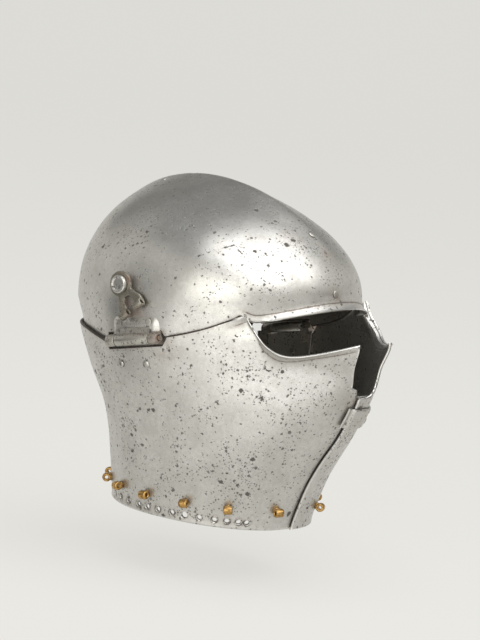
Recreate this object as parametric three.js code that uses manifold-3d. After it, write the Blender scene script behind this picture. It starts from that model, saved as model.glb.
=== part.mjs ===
// Early Italian armet (close helmet) with its visor missing, as separate armour plates.
// Modelled in a head frame (front -Y, wearer's left +X, up +Z) and then tilted so that the
// lower rim stands level on z = 0. Millimetres.
import * as THREE from 'three';
import { mergeVertices } from 'three/addons/utils/BufferGeometryUtils.js';
import Module from 'manifold-3d';

const wasm = await Module();
wasm.setup();

// ---------- driving dimensions ----------
const PLATE = 2.0;            // thickness of skull and cheekpieces
const SKULL_INSET = 3.1;      // skull wall lies this far inside the cheekpieces' outer face
const SKULL_FRONT = 112.8;    // brow depth ahead of the ear line
const EQUATOR_Z = 180;        // height of the skull's widest section
const DOME_RISE = 82.8;       // from the widest section to the crown
const DOME_SHIFT = 24.3;      // how far the crown lies behind the ear line
const KEEL_HEIGHT = 9.9;      // medial keel along the crown
const KEEL_WIDTH = 24;
const RIM_LEVEL = 17.3;       // lower rim: z = RIM_LEVEL + RIM_SLOPE * y in the head frame
const RIM_SLOPE = Math.tan(THREE.MathUtils.degToRad(8));
const LAP = 1.4;              // half the step between the two chin plates
const LAP_EDGE = 6;           // left plate's free edge, past the middle
const FLANGE = 14;            // right plate's hidden flange, past the middle
const SIGHT_LIP = 5.5;        // the cheekpieces turn outwards along the sight by this much
const BROW_LIP = 5;           // and so does the skull's brow
const HINGE = { x: 97, y: 5, z: 151.1, slope: THREE.MathUtils.degToRad(4.6), length: 48, end: 8 };
const KNUCKLE = { r: 4.5, bore: 2.15, pin: 1.7 };
const PIVOT = { y: 14.4, z: 191.5 };
const ARM = { inner: 98.9, thick: 2.2, eye: 11.4, reach: 21.5, width: 23 };
const STAND_SHIFT_Y = -8.27; // centres the outline on the origin

// ---------- materials ----------
const steel = (color, roughness) => new THREE.MeshStandardMaterial({ color, roughness, metalness: 1 });
const MATERIALS = {
  skull: steel(0xa9a8a2, 0.38),
  cheek: steel(0xa3a29b, 0.42),
  hinge: steel(0x8f877c, 0.5),
  arm: steel(0x8a7a68, 0.55),
  rivet: steel(0xb5b4ae, 0.35),
  clasp: steel(0x8e8d88, 0.45),
  brass: steel(0xb08a4a, 0.4),
};

// ---------- section stations of the cheekpieces' outer face ----------
// z, half width, widest y, front y, rear y, half facet, crease angle, front handle, side handle
const STATIONS = [
  [0, 68, 12, -67, 86, 5, 4, 0.58, 0.56],
  [20, 69, 12, -75, 86, 6, 8, 0.6, 0.58],
  [40, 72, 11, -85, 85, 6, 10, 0.62, 0.6],
  [60, 76, 10, -99, 84, 7, 14, 0.62, 0.6],
  [80, 80, 8, -115, 84, 8, 20, 0.6, 0.58],
  [100, 85, 6, -128, 87, 9, 28, 0.58, 0.55],
  [127, 92.5, 3, -140, 98, 11, 36, 0.52, 0.5],
  [150, 97.5, 1, -150, 107, 12, 38, 0.5, 0.45],
  [165, 99.2, 0, -129, 110.8, 11, 22, 0.5, 0.5],
  [180, 99.8, 0, -116, 115.9, 8, 2, 0.55, 0.55],
];

const smooth = (a, b, x) => {
  const t = Math.min(1, Math.max(0, (x - a) / (b - a)));
  return t * t * (3 - 2 * t);
};

function station(z) {
  const n = STATIONS.length;
  let i = STATIONS.findIndex((s) => s[0] > z) - 1;
  if (i < 0) i = z < STATIONS[0][0] ? 0 : n - 2;
  const h = STATIONS[i + 1][0] - STATIONS[i][0];
  const t = (z - STATIONS[i][0]) / h;
  const slope = (k, c) => {
    const a = Math.max(0, Math.min(n - 1, k - 1)), b = Math.max(0, Math.min(n - 1, k + 1));
    return (STATIONS[b][c] - STATIONS[a][c]) / (STATIONS[b][0] - STATIONS[a][0]);
  };
  return STATIONS[i].map((p0, c) => {
    const p1 = STATIONS[i + 1][c];
    return (2 * t ** 3 - 3 * t * t + 1) * p0 + (t ** 3 - 2 * t * t + t) * slope(i, c) * h
      + (3 * t * t - 2 * t ** 3) * p1 + (t ** 3 - t * t) * slope(i + 1, c) * h;
  });
}

// half section at height z: s = 0 front, 1 crease, 2 side, 3 rear; returns [x >= 0, y]
function halfSection(s, z) {
  const [, A, y0, yF, yR, f, crease, h1, h2] = station(z);
  if (s <= 1) return [f * s, yF];
  if (s <= 2) {
    const t = s - 1, be = THREE.MathUtils.degToRad(crease), a = h1 * (A - f), b = h2 * (y0 - yF);
    const w = [(1 - t) ** 3, 3 * t * (1 - t) ** 2, 3 * t * t * (1 - t), t ** 3];
    const px = [f, f + a * Math.cos(be), A, A], py = [yF, yF + a * Math.sin(be), y0 - b, y0];
    return [0, 1].map((k) => w.reduce((sum, wi, i) => sum + wi * (k ? py : px)[i], 0));
  }
  const t = ((s - 2) * Math.PI) / 2;
  return [A * Math.cos(t), y0 + (yR - y0) * Math.sin(t)];
}

// signed section coordinate of the point at distance x from the middle, in the front quarter
function sAtX(x, z) {
  const target = Math.abs(x);
  let lo = 0, hi = 1.9;
  for (let k = 0; k < 30; k++) {
    const mid = (lo + hi) / 2;
    if (halfSection(mid, z)[0] < target) lo = mid; else hi = mid;
  }
  return Math.sign(x) * lo;
}

function cheekFace(side, s, z) {
  const [x, y] = halfSection(Math.abs(s), z);
  return new THREE.Vector3(side * Math.sign(s || 1) * x, y, z);
}

function cheekNormal(side, s, z) {
  const ds = cheekFace(side, s + 0.12, z).sub(cheekFace(side, s - 0.12, z));
  const dz = cheekFace(side, s, z + 2).sub(cheekFace(side, s, z - 2));
  return ds.cross(dz).normalize().multiplyScalar(-side * -1);
}

// the left plate steps out and the right plate steps in where they lap at the chin
function lapStep(side, s, z) {
  if (s > 1.9) return 0;
  const x = Math.sign(s) * halfSection(Math.abs(s), z)[0];
  const fade = 1 - smooth(114, 136, z);
  return side > 0 ? LAP * fade * (1 - smooth(14, 42, x)) : -LAP * fade * (1 - smooth(9, 26, x));
}

function cheekPoint(side, s, z, offset = 0) {
  return cheekFace(side, s, z).addScaledVector(cheekNormal(side, s, z), offset + lapStep(side, s, z));
}

// ---------- skull surface ----------
function skullFace(phi, z, t) {
  if (t > 0) {
    const c = Math.cos((t * Math.PI) / 2), q = Math.sin((t * Math.PI) / 2), A = skullHalfWidth(EQUATOR_Z);
    const p = new THREE.Vector3(A * Math.sin(phi) * c, DOME_SHIFT * q * q - SKULL_FRONT * Math.cos(phi) * c,
      EQUATOR_Z + DOME_RISE * q);
    const n = new THREE.Vector3((Math.sin(phi) * c) / A, (-Math.cos(phi) * c) / SKULL_FRONT, q / DOME_RISE);
    const keel = KEEL_HEIGHT * q ** 2.42 * Math.exp(-(Math.hypot(p.x, 3) - 3) / KEEL_WIDTH);
    return p.addScaledVector(n.normalize(), keel);
  }
  const [, , y0, , yR] = station(z);
  const tuck = 1.2 * smooth(2.58, 2.72, Math.abs(phi)) * (1 - smooth(140, 170, z)); // nape tail
  const depth = Math.cos(phi) < 0 ? yR - SKULL_INSET - tuck - y0 : SKULL_FRONT + y0;
  return new THREE.Vector3(skullHalfWidth(z) * Math.sin(phi), y0 - depth * Math.cos(phi), z);
}

const skullHalfWidth = (z) => station(z)[1] - SKULL_INSET;

function skullNormal(phi, z, t) {
  const e = 0.02;
  const dp = skullFace(phi + e, z, t).sub(skullFace(phi - e, z, t));
  const up = t > 0 ? skullFace(phi, z, Math.min(1, t + e)).sub(skullFace(phi, z, Math.max(1e-4, t - e)))
    : skullFace(phi, z + 1, 0).sub(skullFace(phi, z - 1, 0));
  return dp.cross(up).normalize();
}

// ---------- helpers ----------
function gridPlate(cols, rows, outer, inner) {
  const pos = [], idx = [], id = (k, i, j) => (k * (cols + 1) + i) * (rows + 1) + j;
  for (const face of [outer, inner]) {
    for (let i = 0; i <= cols; i++) for (let j = 0; j <= rows; j++) pos.push(...face(i, j).toArray());
  }
  const quad = (a, b, c, d) => idx.push(a, b, c, a, c, d);
  for (let i = 0; i < cols; i++) {
    for (let j = 0; j < rows; j++) {
      quad(id(0, i, j), id(0, i + 1, j), id(0, i + 1, j + 1), id(0, i, j + 1));
      quad(id(1, i, j), id(1, i, j + 1), id(1, i + 1, j + 1), id(1, i + 1, j));
    }
    quad(id(0, i, 0), id(1, i, 0), id(1, i + 1, 0), id(0, i + 1, 0));
    quad(id(0, i, rows), id(0, i + 1, rows), id(1, i + 1, rows), id(1, i, rows));
  }
  for (let j = 0; j < rows; j++) {
    quad(id(0, 0, j), id(0, 0, j + 1), id(1, 0, j + 1), id(1, 0, j));
    quad(id(0, cols, j), id(1, cols, j), id(1, cols, j + 1), id(0, cols, j + 1));
  }
  const g = new THREE.BufferGeometry();
  g.setAttribute('position', new THREE.Float32BufferAttribute(pos, 3));
  g.setIndex(idx);
  return g;
}

function toSolid(geometry) {
  let g = geometry.clone();
  for (const name of ['normal', 'uv']) g.deleteAttribute(name);
  g = mergeVertices(g, 1e-4);
  const tri = [], src = g.index.array;
  for (let i = 0; i < src.length; i += 3) {
    const [a, b, c] = [src[i], src[i + 1], src[i + 2]];
    if (a !== b && b !== c && a !== c) tri.push(a, b, c);
  }
  const solid = new wasm.Manifold(new wasm.Mesh({
    numProp: 3, vertProperties: new Float32Array(g.attributes.position.array), triVerts: new Uint32Array(tri),
  }));
  return solid;
}

function toGeometry(solid) {
  const m = solid.getMesh();
  const g = new THREE.BufferGeometry();
  g.setAttribute('position', new THREE.Float32BufferAttribute(Float32Array.from(m.vertProperties), 3));
  g.setIndex(Array.from(m.triVerts));
  g.computeVertexNormals();
  return g;
}

// turns a geometry whose axis is +Y so that it runs along `axis` from the point `at`
function along(geometry, at, axis) {
  const q = new THREE.Quaternion().setFromUnitVectors(new THREE.Vector3(0, 1, 0), axis.clone().normalize());
  return geometry.applyQuaternion(q).translate(at.x, at.y, at.z);
}

const cylinder = (r, length, at, axis, seg = 10) => toSolid(along(new THREE.CylinderGeometry(r, r, length, seg),
  at, axis));

function ring(outer, inner, length, at, axis, seg = 16) {
  const h = length / 2;
  const profile = [[inner, -h], [outer, -h], [outer, h], [inner, h], [inner, -h]];
  return toSolid(along(new THREE.LatheGeometry(profile.map((p) => new THREE.Vector2(...p)), seg), at, axis));
}

function lathe(profile, at, axis, seg = 12) {
  return toSolid(along(new THREE.LatheGeometry(profile.map((p) => new THREE.Vector2(...p)), seg), at, axis));
}

const drill = (solid, holes) => holes.reduce((s, h) => s.subtract(cylinder(h.r, 20, h.at, h.axis, 8)), solid);

const helmet = new THREE.Group();
function addPiece(name, solid, material) {
  const mesh = new THREE.Mesh(toGeometry(solid), material);
  mesh.name = name;
  helmet.add(mesh);
}

// a rivet at a surface point: domed outer head, shank, small inner head
function rivetSolid(at, axis, grip, head, shank, dome = 1.2, seg = 8) {
  const lift = 0.3;
  const profile = [[0, -grip - lift - 1], [head * 0.8, -grip - lift - 1], [head * 0.8, -grip - lift],
    [shank, -grip - lift], [shank, lift], [head, lift], [head * 0.72, lift + dome * 0.75], [0, lift + dome]];
  return lathe(profile, at, axis, seg);
}

// ---------- cheekpieces ----------
const rimZ = (side, sOf) => {
  let z = 10;
  for (let k = 0; k < 40; k++) z = RIM_LEVEL + RIM_SLOPE * cheekPoint(side, sOf(z), z).y;
  return z;
};
const atX = (x) => (z) => sAtX(x, z);
const atS = (s) => () => s;

// sight edge from the nose to the hinge notch: [rim s, top s, top z]; hammered by hand, so not quite alike
const SIGHT_EDGE = {
  right: [[1.44, 1.168, 146.4], [1.49, 1.26, 144.3], [1.54, 1.346, 142.3], [1.58, 1.4, 142.1],
    [1.62, 1.444, 144.1], [1.65, 1.485, 149.2], [1.68, 1.503, 155], [1.71, 1.505, 163], [1.74, 1.51, 171],
    [1.78, 1.6, 166.3], [1.83, 1.7, 161], [1.88, 1.8, 156.8], [1.915, 1.872, 154.4]],
  left: [[1.44, 1.168, 147.2], [1.49, 1.25, 146.2], [1.54, 1.32, 146.2], [1.58, 1.37, 147.5],
    [1.62, 1.405, 150.5], [1.65, 1.43, 155.5], [1.68, 1.44, 161], [1.71, 1.445, 168], [1.74, 1.455, 176],
    [1.78, 1.56, 169.4], [1.83, 1.68, 162.2], [1.88, 1.79, 157.1], [1.915, 1.872, 154.4]],
};
// how far each outline column turns outwards at its top, as a share of SIGHT_LIP
const LIP_SHARE = { 10: 0.6, 11: 1, 12: 1, 13: 1, 14: 1, 15: 1, 16: 1, 17: 0.9, 18: 0.55 };
const LIP_REACH = 7;
const LIP_FALL = 3.2;

// outline columns: [rim position, top position, top z]
function cheekOutline(side) {
  const free = side > 0 ? LAP_EDGE : FLANGE;
  const notch = (s) => HINGE.z - 5.3 - (cheekFace(side, s, HINGE.z).y - HINGE.y) * Math.tan(HINGE.slope);
  return [
    [atX(-free), atX(-free), 108.5],
    [atX(-3), atX(-3), 108.6],
    [atX(3.6), atX(3.6), 109],
    [atX(8.6), atX(8.6), 111.4],
    [atS(1.1), atX(12.6), 115],
    [atS(1.16), atX(14.8), 120.5],
    [atS(1.22), atX(16.6), 127],
    [atS(1.27), atX(18.4), 134],
    [atS(1.32), atX(19.8), 141],
    [atS(1.38), atX(20.2), 148.6],
    ...SIGHT_EDGE[side > 0 ? 'left' : 'right'].map(([b, t, z]) => [atS(b), atS(t), z]),
    [atS(1.94), atS(1.893), notch(1.893)],
    ...[2, 2.07, 2.14, 2.19].map((s) => [atS(s), atS(s), notch(s)]),
    ...[[2.225, 2.212, 149], [2.265, 2.255, 151.2], [2.32, 2.31, 153.6], [2.39, 2.385, 156.6],
      [2.46, 2.46, 158.6], [2.53, 2.53, 160], [2.6, 2.6, 160.9], [2.67, 2.67, 161.5], [2.74, 2.74, 161.9],
      [2.82, 2.82, 162.1], [2.9, 2.9, 162.2]].map(([b, t, z]) => [atS(b), atS(t), z]),
  ];
}

const CHEEK_ROWS = 10;
function cheekPlate(side) {
  const cols = cheekOutline(side).map(([bottom, top, zTop]) => {
    const zB = rimZ(side, bottom);
    return { sB: bottom(zB), zB, sT: top(zTop), zT: zTop };
  });
  for (const c of cols) c.length = cheekFace(side, c.sT, c.zT).distanceTo(cheekFace(side, c.sB, c.zB));
  // rows are even but for the last, which lies LIP_REACH below the top edge
  const rowAt = (c, j) => (j === CHEEK_ROWS ? 1 : (j / (CHEEK_ROWS - 1)) * (1 - LIP_REACH / c.length));
  const uvAt = (i, j) => {
    const c = cols[i], v = rowAt(c, j);
    return [c.sB + (c.sT - c.sB) * v, c.zB + (c.zT - c.zB) * v];
  };
  const lip = (i, j) => SIGHT_LIP * (LIP_SHARE[i] ?? 0)
    * Math.exp(-((1 - rowAt(cols[i], j)) * cols[i].length) / LIP_FALL);
  const outer = (i, j) => cheekPoint(side, ...uvAt(i, j), lip(i, j));
  const level = (p) => { // the rim's cut edge lies in the rim plane
    p.z = RIM_LEVEL + RIM_SLOPE * p.y;
    return p;
  };
  const inner = (i, j) => {
    const p = cheekPoint(side, ...uvAt(i, j), lip(i, j) - PLATE);
    return j ? p : level(p);
  };
  const face = (i, j) => (j ? outer(i, j) : level(outer(i, j)));
  return side > 0 ? gridPlate(cols.length - 1, CHEEK_ROWS, face, inner)
    : gridPlate(cols.length - 1, CHEEK_ROWS, inner, face);
}

const VERVELLE_S = [1.172, 1.52, 1.788, 2.02, 2.284, 2.53, 2.735];
const RIM_HOLE_S = [1.37, 1.43, 1.511, 1.595, 1.695, 1.789, 1.867, 1.952, 2.021, 2.101, 2.2, 2.3, 2.4];
const VERVELLE_UP = 15.5;
const RIM_HOLE_UP = 5.6;

function aboveRim(side, s, up) {
  const z = rimZ(side, atS(s)) + up;
  return { at: cheekPoint(side, s, z), axis: cheekNormal(side, s, z), s, z };
}
const LOWER_RIVETS = [{ y: -4.3, z: 133 }, { y: 20.5, z: 132.4 }];
const CLASP_RIVETS = [90.2, 97.6];
const CLASP = { z0: 86.6, z1: 101, from: 34, to: -12, thick: 1.6, lift: 0.35, drop: 2.7 };

function sAtY(y, z) {
  let lo = 1.2, hi = 2.95;
  for (let k = 0; k < 30; k++) {
    const mid = (lo + hi) / 2;
    if (halfSection(mid, z)[1] < y) lo = mid; else hi = mid;
  }
  return lo;
}

function cheekSpot(side, y, z) {
  const s = sAtY(y, z);
  return { at: cheekPoint(side, s, z), axis: cheekNormal(side, s, z) };
}

function claspSpot(z) {
  const s = sAtX(27, z);
  return { at: cheekPoint(1, s, z, CLASP.lift + CLASP.thick), axis: cheekNormal(1, s, z) };
}

function buildCheek(side) {
  const name = side > 0 ? 'left' : 'right';
  const holes = [
    ...RIM_HOLE_S.map((s) => ({ ...aboveRim(side, s, RIM_HOLE_UP), r: 1.7 })),
    ...VERVELLE_S.map((s) => ({ ...aboveRim(side, s, VERVELLE_UP), r: 1.85 })),
    ...LOWER_RIVETS.map((p) => ({ ...cheekSpot(side, p.y, p.z), r: 2 })),
  ];
  if (side > 0) holes.push(...CLASP_RIVETS.map((z) => ({ ...claspSpot(z), r: 2 })));
  addPiece(`${name}_cheekpiece`, drill(toSolid(cheekPlate(side)), holes), MATERIALS.cheek);
  VERVELLE_S.forEach((s, i) => addPiece(`${name}_vervelle_${i + 1}`, vervelle(side, s), MATERIALS.brass));
}

// pierced brass staple: shank through the plate, tube-shaped head along the rim
function vervelle(side, s) {
  const { at, axis } = aboveRim(side, s, VERVELLE_UP);
  const tangent = cheekFace(side, s + 0.05, at.z).sub(cheekFace(side, s - 0.05, at.z)).normalize();
  const centre = at.clone().addScaledVector(axis, 3.9);
  const collar = lathe([[0, -PLATE - 1.4], [2.7, -PLATE - 1.4], [2.7, -PLATE - 0.5], [1.5, -PLATE - 0.5],
    [1.5, 0.3], [2.8, 0.3], [2.3, 1.6], [0, 1.6]], at, axis, 6);
  return collar.add(ring(3.3, 1.55, 6.6, centre, tangent, 8));
}

// ---------- skull ----------
const DEG = Math.PI / 180;
// lower edge: [angle from the front, z or null for the rim, angle at the widest section]
const SKULL_EDGE = [
  [0, 172, 0], [10, 171.5, 10], [20, 169.8, 19], [30, 167.5, 28], [38, 165.2, 36], [43, 164.2, 42],
  [46.5, 166.3, 46], [49, 169, 50], [54, 164.6, 55], [61, 159.5, 62], [70, 155.3, 70], [76, 153.6, 76],
  [79.2, 153, 80], [80.6, 157.5, 83], [90, 156.6, 91], [100, 155.4, 100], [108.6, 154.2, 108],
  [110.2, 147.6, 111], [118, 151.6, 118], [126, 155.4, 126], [136.8, 158.2, 136], [148.5, 159.7, 147],
  [158, 160.4, 156], [165.5, 160.6, 162], [165, 135, 164], [164, 110, 166], [163, 80, 168], [162, 50, 170],
  [161, null, 172], [170, null, 176], [180, null, 180],
];
const WALL_ROWS = 10;
const DOME_ROWS = 9;
const TAIL_LIFT = 1.2;

function tailRimZ(phi) {
  let z = 25;
  for (let k = 0; k < 40; k++) z = RIM_LEVEL + RIM_SLOPE * skullFace(phi, z, 0).y + TAIL_LIFT;
  return z;
}

// the brow's turned-out lip dies away before it meets the cheekpieces
const browShare = (phi) => 1 - smooth(33, 41, Math.abs(phi) / DEG);

function skullShell() {
  const half = SKULL_EDGE.map(([a, z, top]) => [a * DEG, z ?? tailRimZ(a * DEG), top * DEG]);
  const other = half.slice(1, -1).reverse().map(([a, z, top]) => [-a, z, -top]);
  const cols = [...half, ...other];
  const rows = WALL_ROWS + DOME_ROWS - 1, n = cols.length;
  const point = (i, j, offset) => {
    const [a, z, top] = cols[i];
    let spot;
    if (j <= WALL_ROWS) {
      const v = j / WALL_ROWS;
      spot = [a + (top - a) * v, z + (EQUATOR_Z - z) * v, 0];
    } else spot = [top, EQUATOR_Z, (j - WALL_ROWS) / DOME_ROWS];
    const rise = skullFace(...spot).distanceTo(skullFace(a, z, 0));
    const lip = j <= WALL_ROWS ? BROW_LIP * browShare(a) * Math.exp(-rise / LIP_FALL) : 0;
    return skullFace(...spot).addScaledVector(skullNormal(...spot), offset + lip);
  };
  const pos = [], idx = [];
  for (const offset of [0, -PLATE]) {
    for (let i = 0; i < n; i++) for (let j = 0; j <= rows; j++) pos.push(...point(i, j, offset).toArray());
    const crown = skullFace(0, EQUATOR_Z, 1);
    pos.push(crown.x, crown.y, crown.z + offset);
  }
  const layer = n * (rows + 1) + 1, id = (k, i, j) => k * layer + (i % n) * (rows + 1) + j;
  const quad = (a, b, c, d) => idx.push(a, b, c, a, c, d);
  for (let i = 0; i < n; i++) {
    for (let j = 0; j < rows; j++) {
      quad(id(0, i, j), id(0, i + 1, j), id(0, i + 1, j + 1), id(0, i, j + 1));
      quad(id(1, i, j), id(1, i, j + 1), id(1, i + 1, j + 1), id(1, i + 1, j));
    }
    quad(id(0, i, 0), id(1, i, 0), id(1, i + 1, 0), id(0, i + 1, 0));
    idx.push(id(0, i, rows), id(0, i + 1, rows), layer - 1);
    idx.push(id(1, i + 1, rows), id(1, i, rows), 2 * layer - 1);
  }
  const g = new THREE.BufferGeometry();
  g.setAttribute('position', new THREE.Float32BufferAttribute(pos, 3));
  g.setIndex(idx);
  return g;
}

// point on the skull wall below the widest section, given its y
function skullSpot(side, y, z) {
  let lo = 0, hi = Math.PI;
  for (let k = 0; k < 30; k++) {
    const mid = (lo + hi) / 2;
    if (skullFace(mid, z, 0).y < y) lo = mid; else hi = mid;
  }
  return { at: skullFace(side * lo, z, 0), axis: skullNormal(side * lo, z, 0), phi: side * lo };
}

function domeSpot(phiDeg, t) {
  const phi = phiDeg * DEG;
  return { at: skullFace(phi, EQUATOR_Z, t), axis: skullNormal(phi, EQUATOR_Z, t) };
}

const KEEL_RIVETS = [domeSpot(-2, 0.373), domeSpot(-4, 0.03)];
const UPPER_RIVETS = [{ y: -9, z: 164.5 }, { y: 19, z: 163.2 }];
const LEAF = { lift: 0.35, thick: 1.4, top: 168.5 };

const upperSpot = (side, p) => {
  const spot = skullSpot(side, p.y, p.z);
  spot.at.addScaledVector(spot.axis, LEAF.lift + LEAF.thick);
  return spot;
};
const pivotSpot = (side) => ({ at: new THREE.Vector3(side * ARM.inner, PIVOT.y, PIVOT.z),
  axis: new THREE.Vector3(side, 0, 0) });

function buildSkull() {
  const holes = KEEL_RIVETS.map((h) => ({ ...h, r: 2 }));
  for (const side of [-1, 1]) {
    holes.push(...UPPER_RIVETS.map((p) => ({ ...upperSpot(side, p), r: 2 })), { ...pivotSpot(side), r: 3.4 });
  }
  addPiece('skull', drill(toSolid(skullShell()), holes), MATERIALS.skull);
  KEEL_RIVETS.forEach((h, i) => addPiece(`keel_rivet_${i + 1}`, rivetSolid(h.at, h.axis, PLATE + 0.9, 3, 1.6, 0.7),
    MATERIALS.rivet));
}

// ---------- hinges ----------
const hingeAxis = new THREE.Vector3(0, -Math.cos(HINGE.slope), Math.sin(HINGE.slope));
const hingePoint = (side, d) => new THREE.Vector3(side * HINGE.x, HINGE.y, HINGE.z).addScaledVector(hingeAxis, d);

function tab(side, x0, x1, z0, z1, d0, d1) {
  const g = new THREE.BoxGeometry(Math.abs(x1 - x0), d1 - d0, z1 - z0);
  g.translate(side * ((x0 + x1) / 2 - HINGE.x), -(d0 + d1) / 2, (z0 + z1) / 2);
  g.rotateX(-HINGE.slope);
  g.translate(side * HINGE.x, HINGE.y, HINGE.z);
  return toSolid(g);
}

function leafPlate(side, y0, y1, low, high, face) {
  const cols = 6, rows = 3;
  const spot = (offset) => (i, j) => {
    const y = y0 + ((y1 - y0) * i) / cols, z = low(y) + ((high(y) - low(y)) * j) / rows;
    return face(side, y, z, offset);
  };
  return side > 0 ? gridPlate(cols, rows, spot(0), spot(1)) : gridPlate(cols, rows, spot(1), spot(0));
}

function buildHinge(side) {
  const name = side > 0 ? 'left' : 'right';
  const half = HINGE.length / 2, gap = 0.45, mid = half - HINGE.end;
  const axisZ = (y) => HINGE.z - (y - HINGE.y) * Math.tan(HINGE.slope);
  const skullSide = (sd, y, z, inner) => {
    const p = skullSpot(sd, y, z);
    return p.at.addScaledVector(p.axis, LEAF.lift + (inner ? 0 : LEAF.thick));
  };
  const cheekSide = (sd, y, z, inner) => {
    const s = sAtY(y, z);
    return cheekPoint(sd, s, z, -PLATE - 0.5 - (inner ? 1.4 : 0));
  };
  const barrel = ring(KNUCKLE.r, KNUCKLE.bore, 2 * (mid - gap), hingePoint(side, 0), hingeAxis);
  const upper = toSolid(leafPlate(side, HINGE.y - half + 1, HINGE.y + half - 1, (y) => axisZ(y) + 5.2,
    () => LEAF.top, skullSide))
    .add(tab(side, 96, 97.9, 3, 8.4, -mid + gap, mid - gap)).add(barrel);
  addPiece(`${name}_hinge_upper_leaf`, drill(upper, UPPER_RIVETS.map((p) => ({ ...upperSpot(side, p), r: 2 }))),
    MATERIALS.hinge);

  let lower = toSolid(leafPlate(side, HINGE.y - half + 1, HINGE.y + half - 1, (y) => axisZ(y) - 24.5,
    (y) => axisZ(y) - 6, cheekSide));
  for (const end of [-1, 1]) {
    const d = [end * mid, end * half].sort((a, b) => a - b);
    const wall = Math.min(...d.map((k) => Math.abs(cheekSide(side, HINGE.y - k, HINGE.z - 12.5, false).x)));
    lower = lower.add(tab(side, wall - 1.5, wall, -12, -0.8, d[0], d[1]))
      .add(tab(side, wall - 1.5, 94, -4.4, -0.8, d[0], d[1]))
      .add(ring(KNUCKLE.r, KNUCKLE.bore, d[1] - d[0], hingePoint(side, (d[0] + d[1]) / 2), hingeAxis));
  }
  const lowerSpots = LOWER_RIVETS.map((p) => ({ ...cheekSpot(side, p.y, p.z), r: 2 }));
  addPiece(`${name}_hinge_lower_leaf`, drill(lower, lowerSpots), MATERIALS.hinge);
  addPiece(`${name}_hinge_pin`, cylinder(KNUCKLE.pin, HINGE.length + 1.2, hingePoint(side, 0), hingeAxis, 14),
    MATERIALS.rivet);
  UPPER_RIVETS.forEach((p, i) => {
    const h = upperSpot(side, p);
    addPiece(`${name}_upper_leaf_rivet_${i + 1}`,
      rivetSolid(h.at, h.axis, PLATE + LEAF.thick + LEAF.lift + 0.3, 2.7, 1.6, 0.7), MATERIALS.rivet);
  });
  lowerSpots.forEach((h, i) => addPiece(`${name}_lower_leaf_rivet_${i + 1}`,
    rivetSolid(h.at, h.axis, PLATE + 2.1, 3, 1.6, 1.3), MATERIALS.rivet));
}

// ---------- visor pivots ----------
function buildPivot(side) {
  const name = side > 0 ? 'left' : 'right';
  const out = new THREE.Vector3(side, 0, 0);
  const at = new THREE.Vector3(side * ARM.inner, PIVOT.y, PIVOT.z);
  const skullX = ARM.inner - 93.6;
  const stud = lathe([[0, -skullX - 4.4], [5.5, -skullX - 4.4], [5.5, -skullX - 3], [3, -skullX - 3],
    [3, ARM.thick + 0.35], [7.6, ARM.thick + 0.35], [7.6, ARM.thick + 2.2], [6.2, ARM.thick + 3.1],
    [0, ARM.thick + 3.5]], at, out, 20);
  addPiece(`${name}_visor_pivot`, stud, MATERIALS.rivet);

  // arm: eye, bar and two knuckles, reaching forward and down
  const reach = new THREE.Vector3(0, -0.54, -0.84).normalize();
  const line = new THREE.Vector3(0, -0.84, 0.54).normalize();
  const mid = at.clone().addScaledVector(out, ARM.thick / 2);
  const plate = (from, to, w0, w1) => {
    const corner = (d, w, k) => mid.clone().addScaledVector(reach, d).addScaledVector(line, w)
      .addScaledVector(out, (k * ARM.thick) / 2);
    const p = (k) => (i, j) => corner(i ? to : from, (j ? 1 : -1) * (i ? w1 : w0) / 2, k);
    return toSolid(side > 0 ? gridPlate(1, 1, p(-1), p(1)) : gridPlate(1, 1, p(1), p(-1)));
  };
  let arm = cylinder(ARM.eye, ARM.thick, mid, out, 24).add(plate(2, ARM.reach - 2, 17, ARM.width))
    .subtract(plateSlot(mid, reach, line, out));
  for (const end of [-1, 1]) {
    const c = mid.clone().addScaledVector(reach, ARM.reach).addScaledVector(line, end * 7.6)
      .addScaledVector(out, 2.1);
    arm = arm.add(ring(3.2, 1.5, 7.8, c, line, 14));
  }
  arm = arm.subtract(cylinder(3.4, 10, mid, out, 16));
  addPiece(`${name}_visor_arm`, arm, MATERIALS.arm);
}

function plateSlot(mid, reach, line, out) {
  const g = new THREE.BoxGeometry(14, 6.4, 8);
  const m = new THREE.Matrix4().makeBasis(reach, line, out.clone().multiplyScalar(
    Math.sign(reach.clone().cross(line).dot(out))));
  g.applyMatrix4(m);
  const c = mid.clone().addScaledVector(reach, 19.5);
  return toSolid(g.translate(c.x, c.y, c.z));
}

// ---------- chin clasp ----------
function buildClasp() {
  const xs = [34, 29, 24, 19, 14, 9, 4, 0, -4, -6.6, -8, -9.4, -12];
  const point = (extra) => (i, j) => {
    const x = xs[i], z = CLASP.z0 + ((CLASP.z1 - CLASP.z0) * j) / 2;
    const s = x > -4 ? sAtX(x || 0.01, z) : sAtX(-4, z);
    const drop = CLASP.drop * smooth(-6.6, -9.4, x);
    const p = cheekPoint(1, s, z, CLASP.lift + extra - drop);
    if (x < -4) p.x = x;
    return p;
  };
  const plate = gridPlate(xs.length - 1, 2, point(0), point(CLASP.thick));
  addPiece('chin_clasp', drill(toSolid(plate), CLASP_RIVETS.map((z) => ({ ...claspSpot(z), r: 2 }))),
    MATERIALS.clasp);
  CLASP_RIVETS.forEach((z, i) => {
    const h = claspSpot(z);
    addPiece(`clasp_rivet_${i + 1}`, rivetSolid(h.at, h.axis, PLATE + CLASP.thick + CLASP.lift, 2.6, 1.6, 0.8),
      MATERIALS.rivet);
  });
}

// ---------- assembly ----------
buildSkull();
for (const side of [-1, 1]) {
  buildCheek(side);
  buildHinge(side);
  buildPivot(side);
}
buildClasp();
helmet.rotation.x = -Math.atan(RIM_SLOPE);
helmet.position.set(0, STAND_SHIFT_Y, -RIM_LEVEL * Math.cos(Math.atan(RIM_SLOPE)));

export default helmet;
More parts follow.
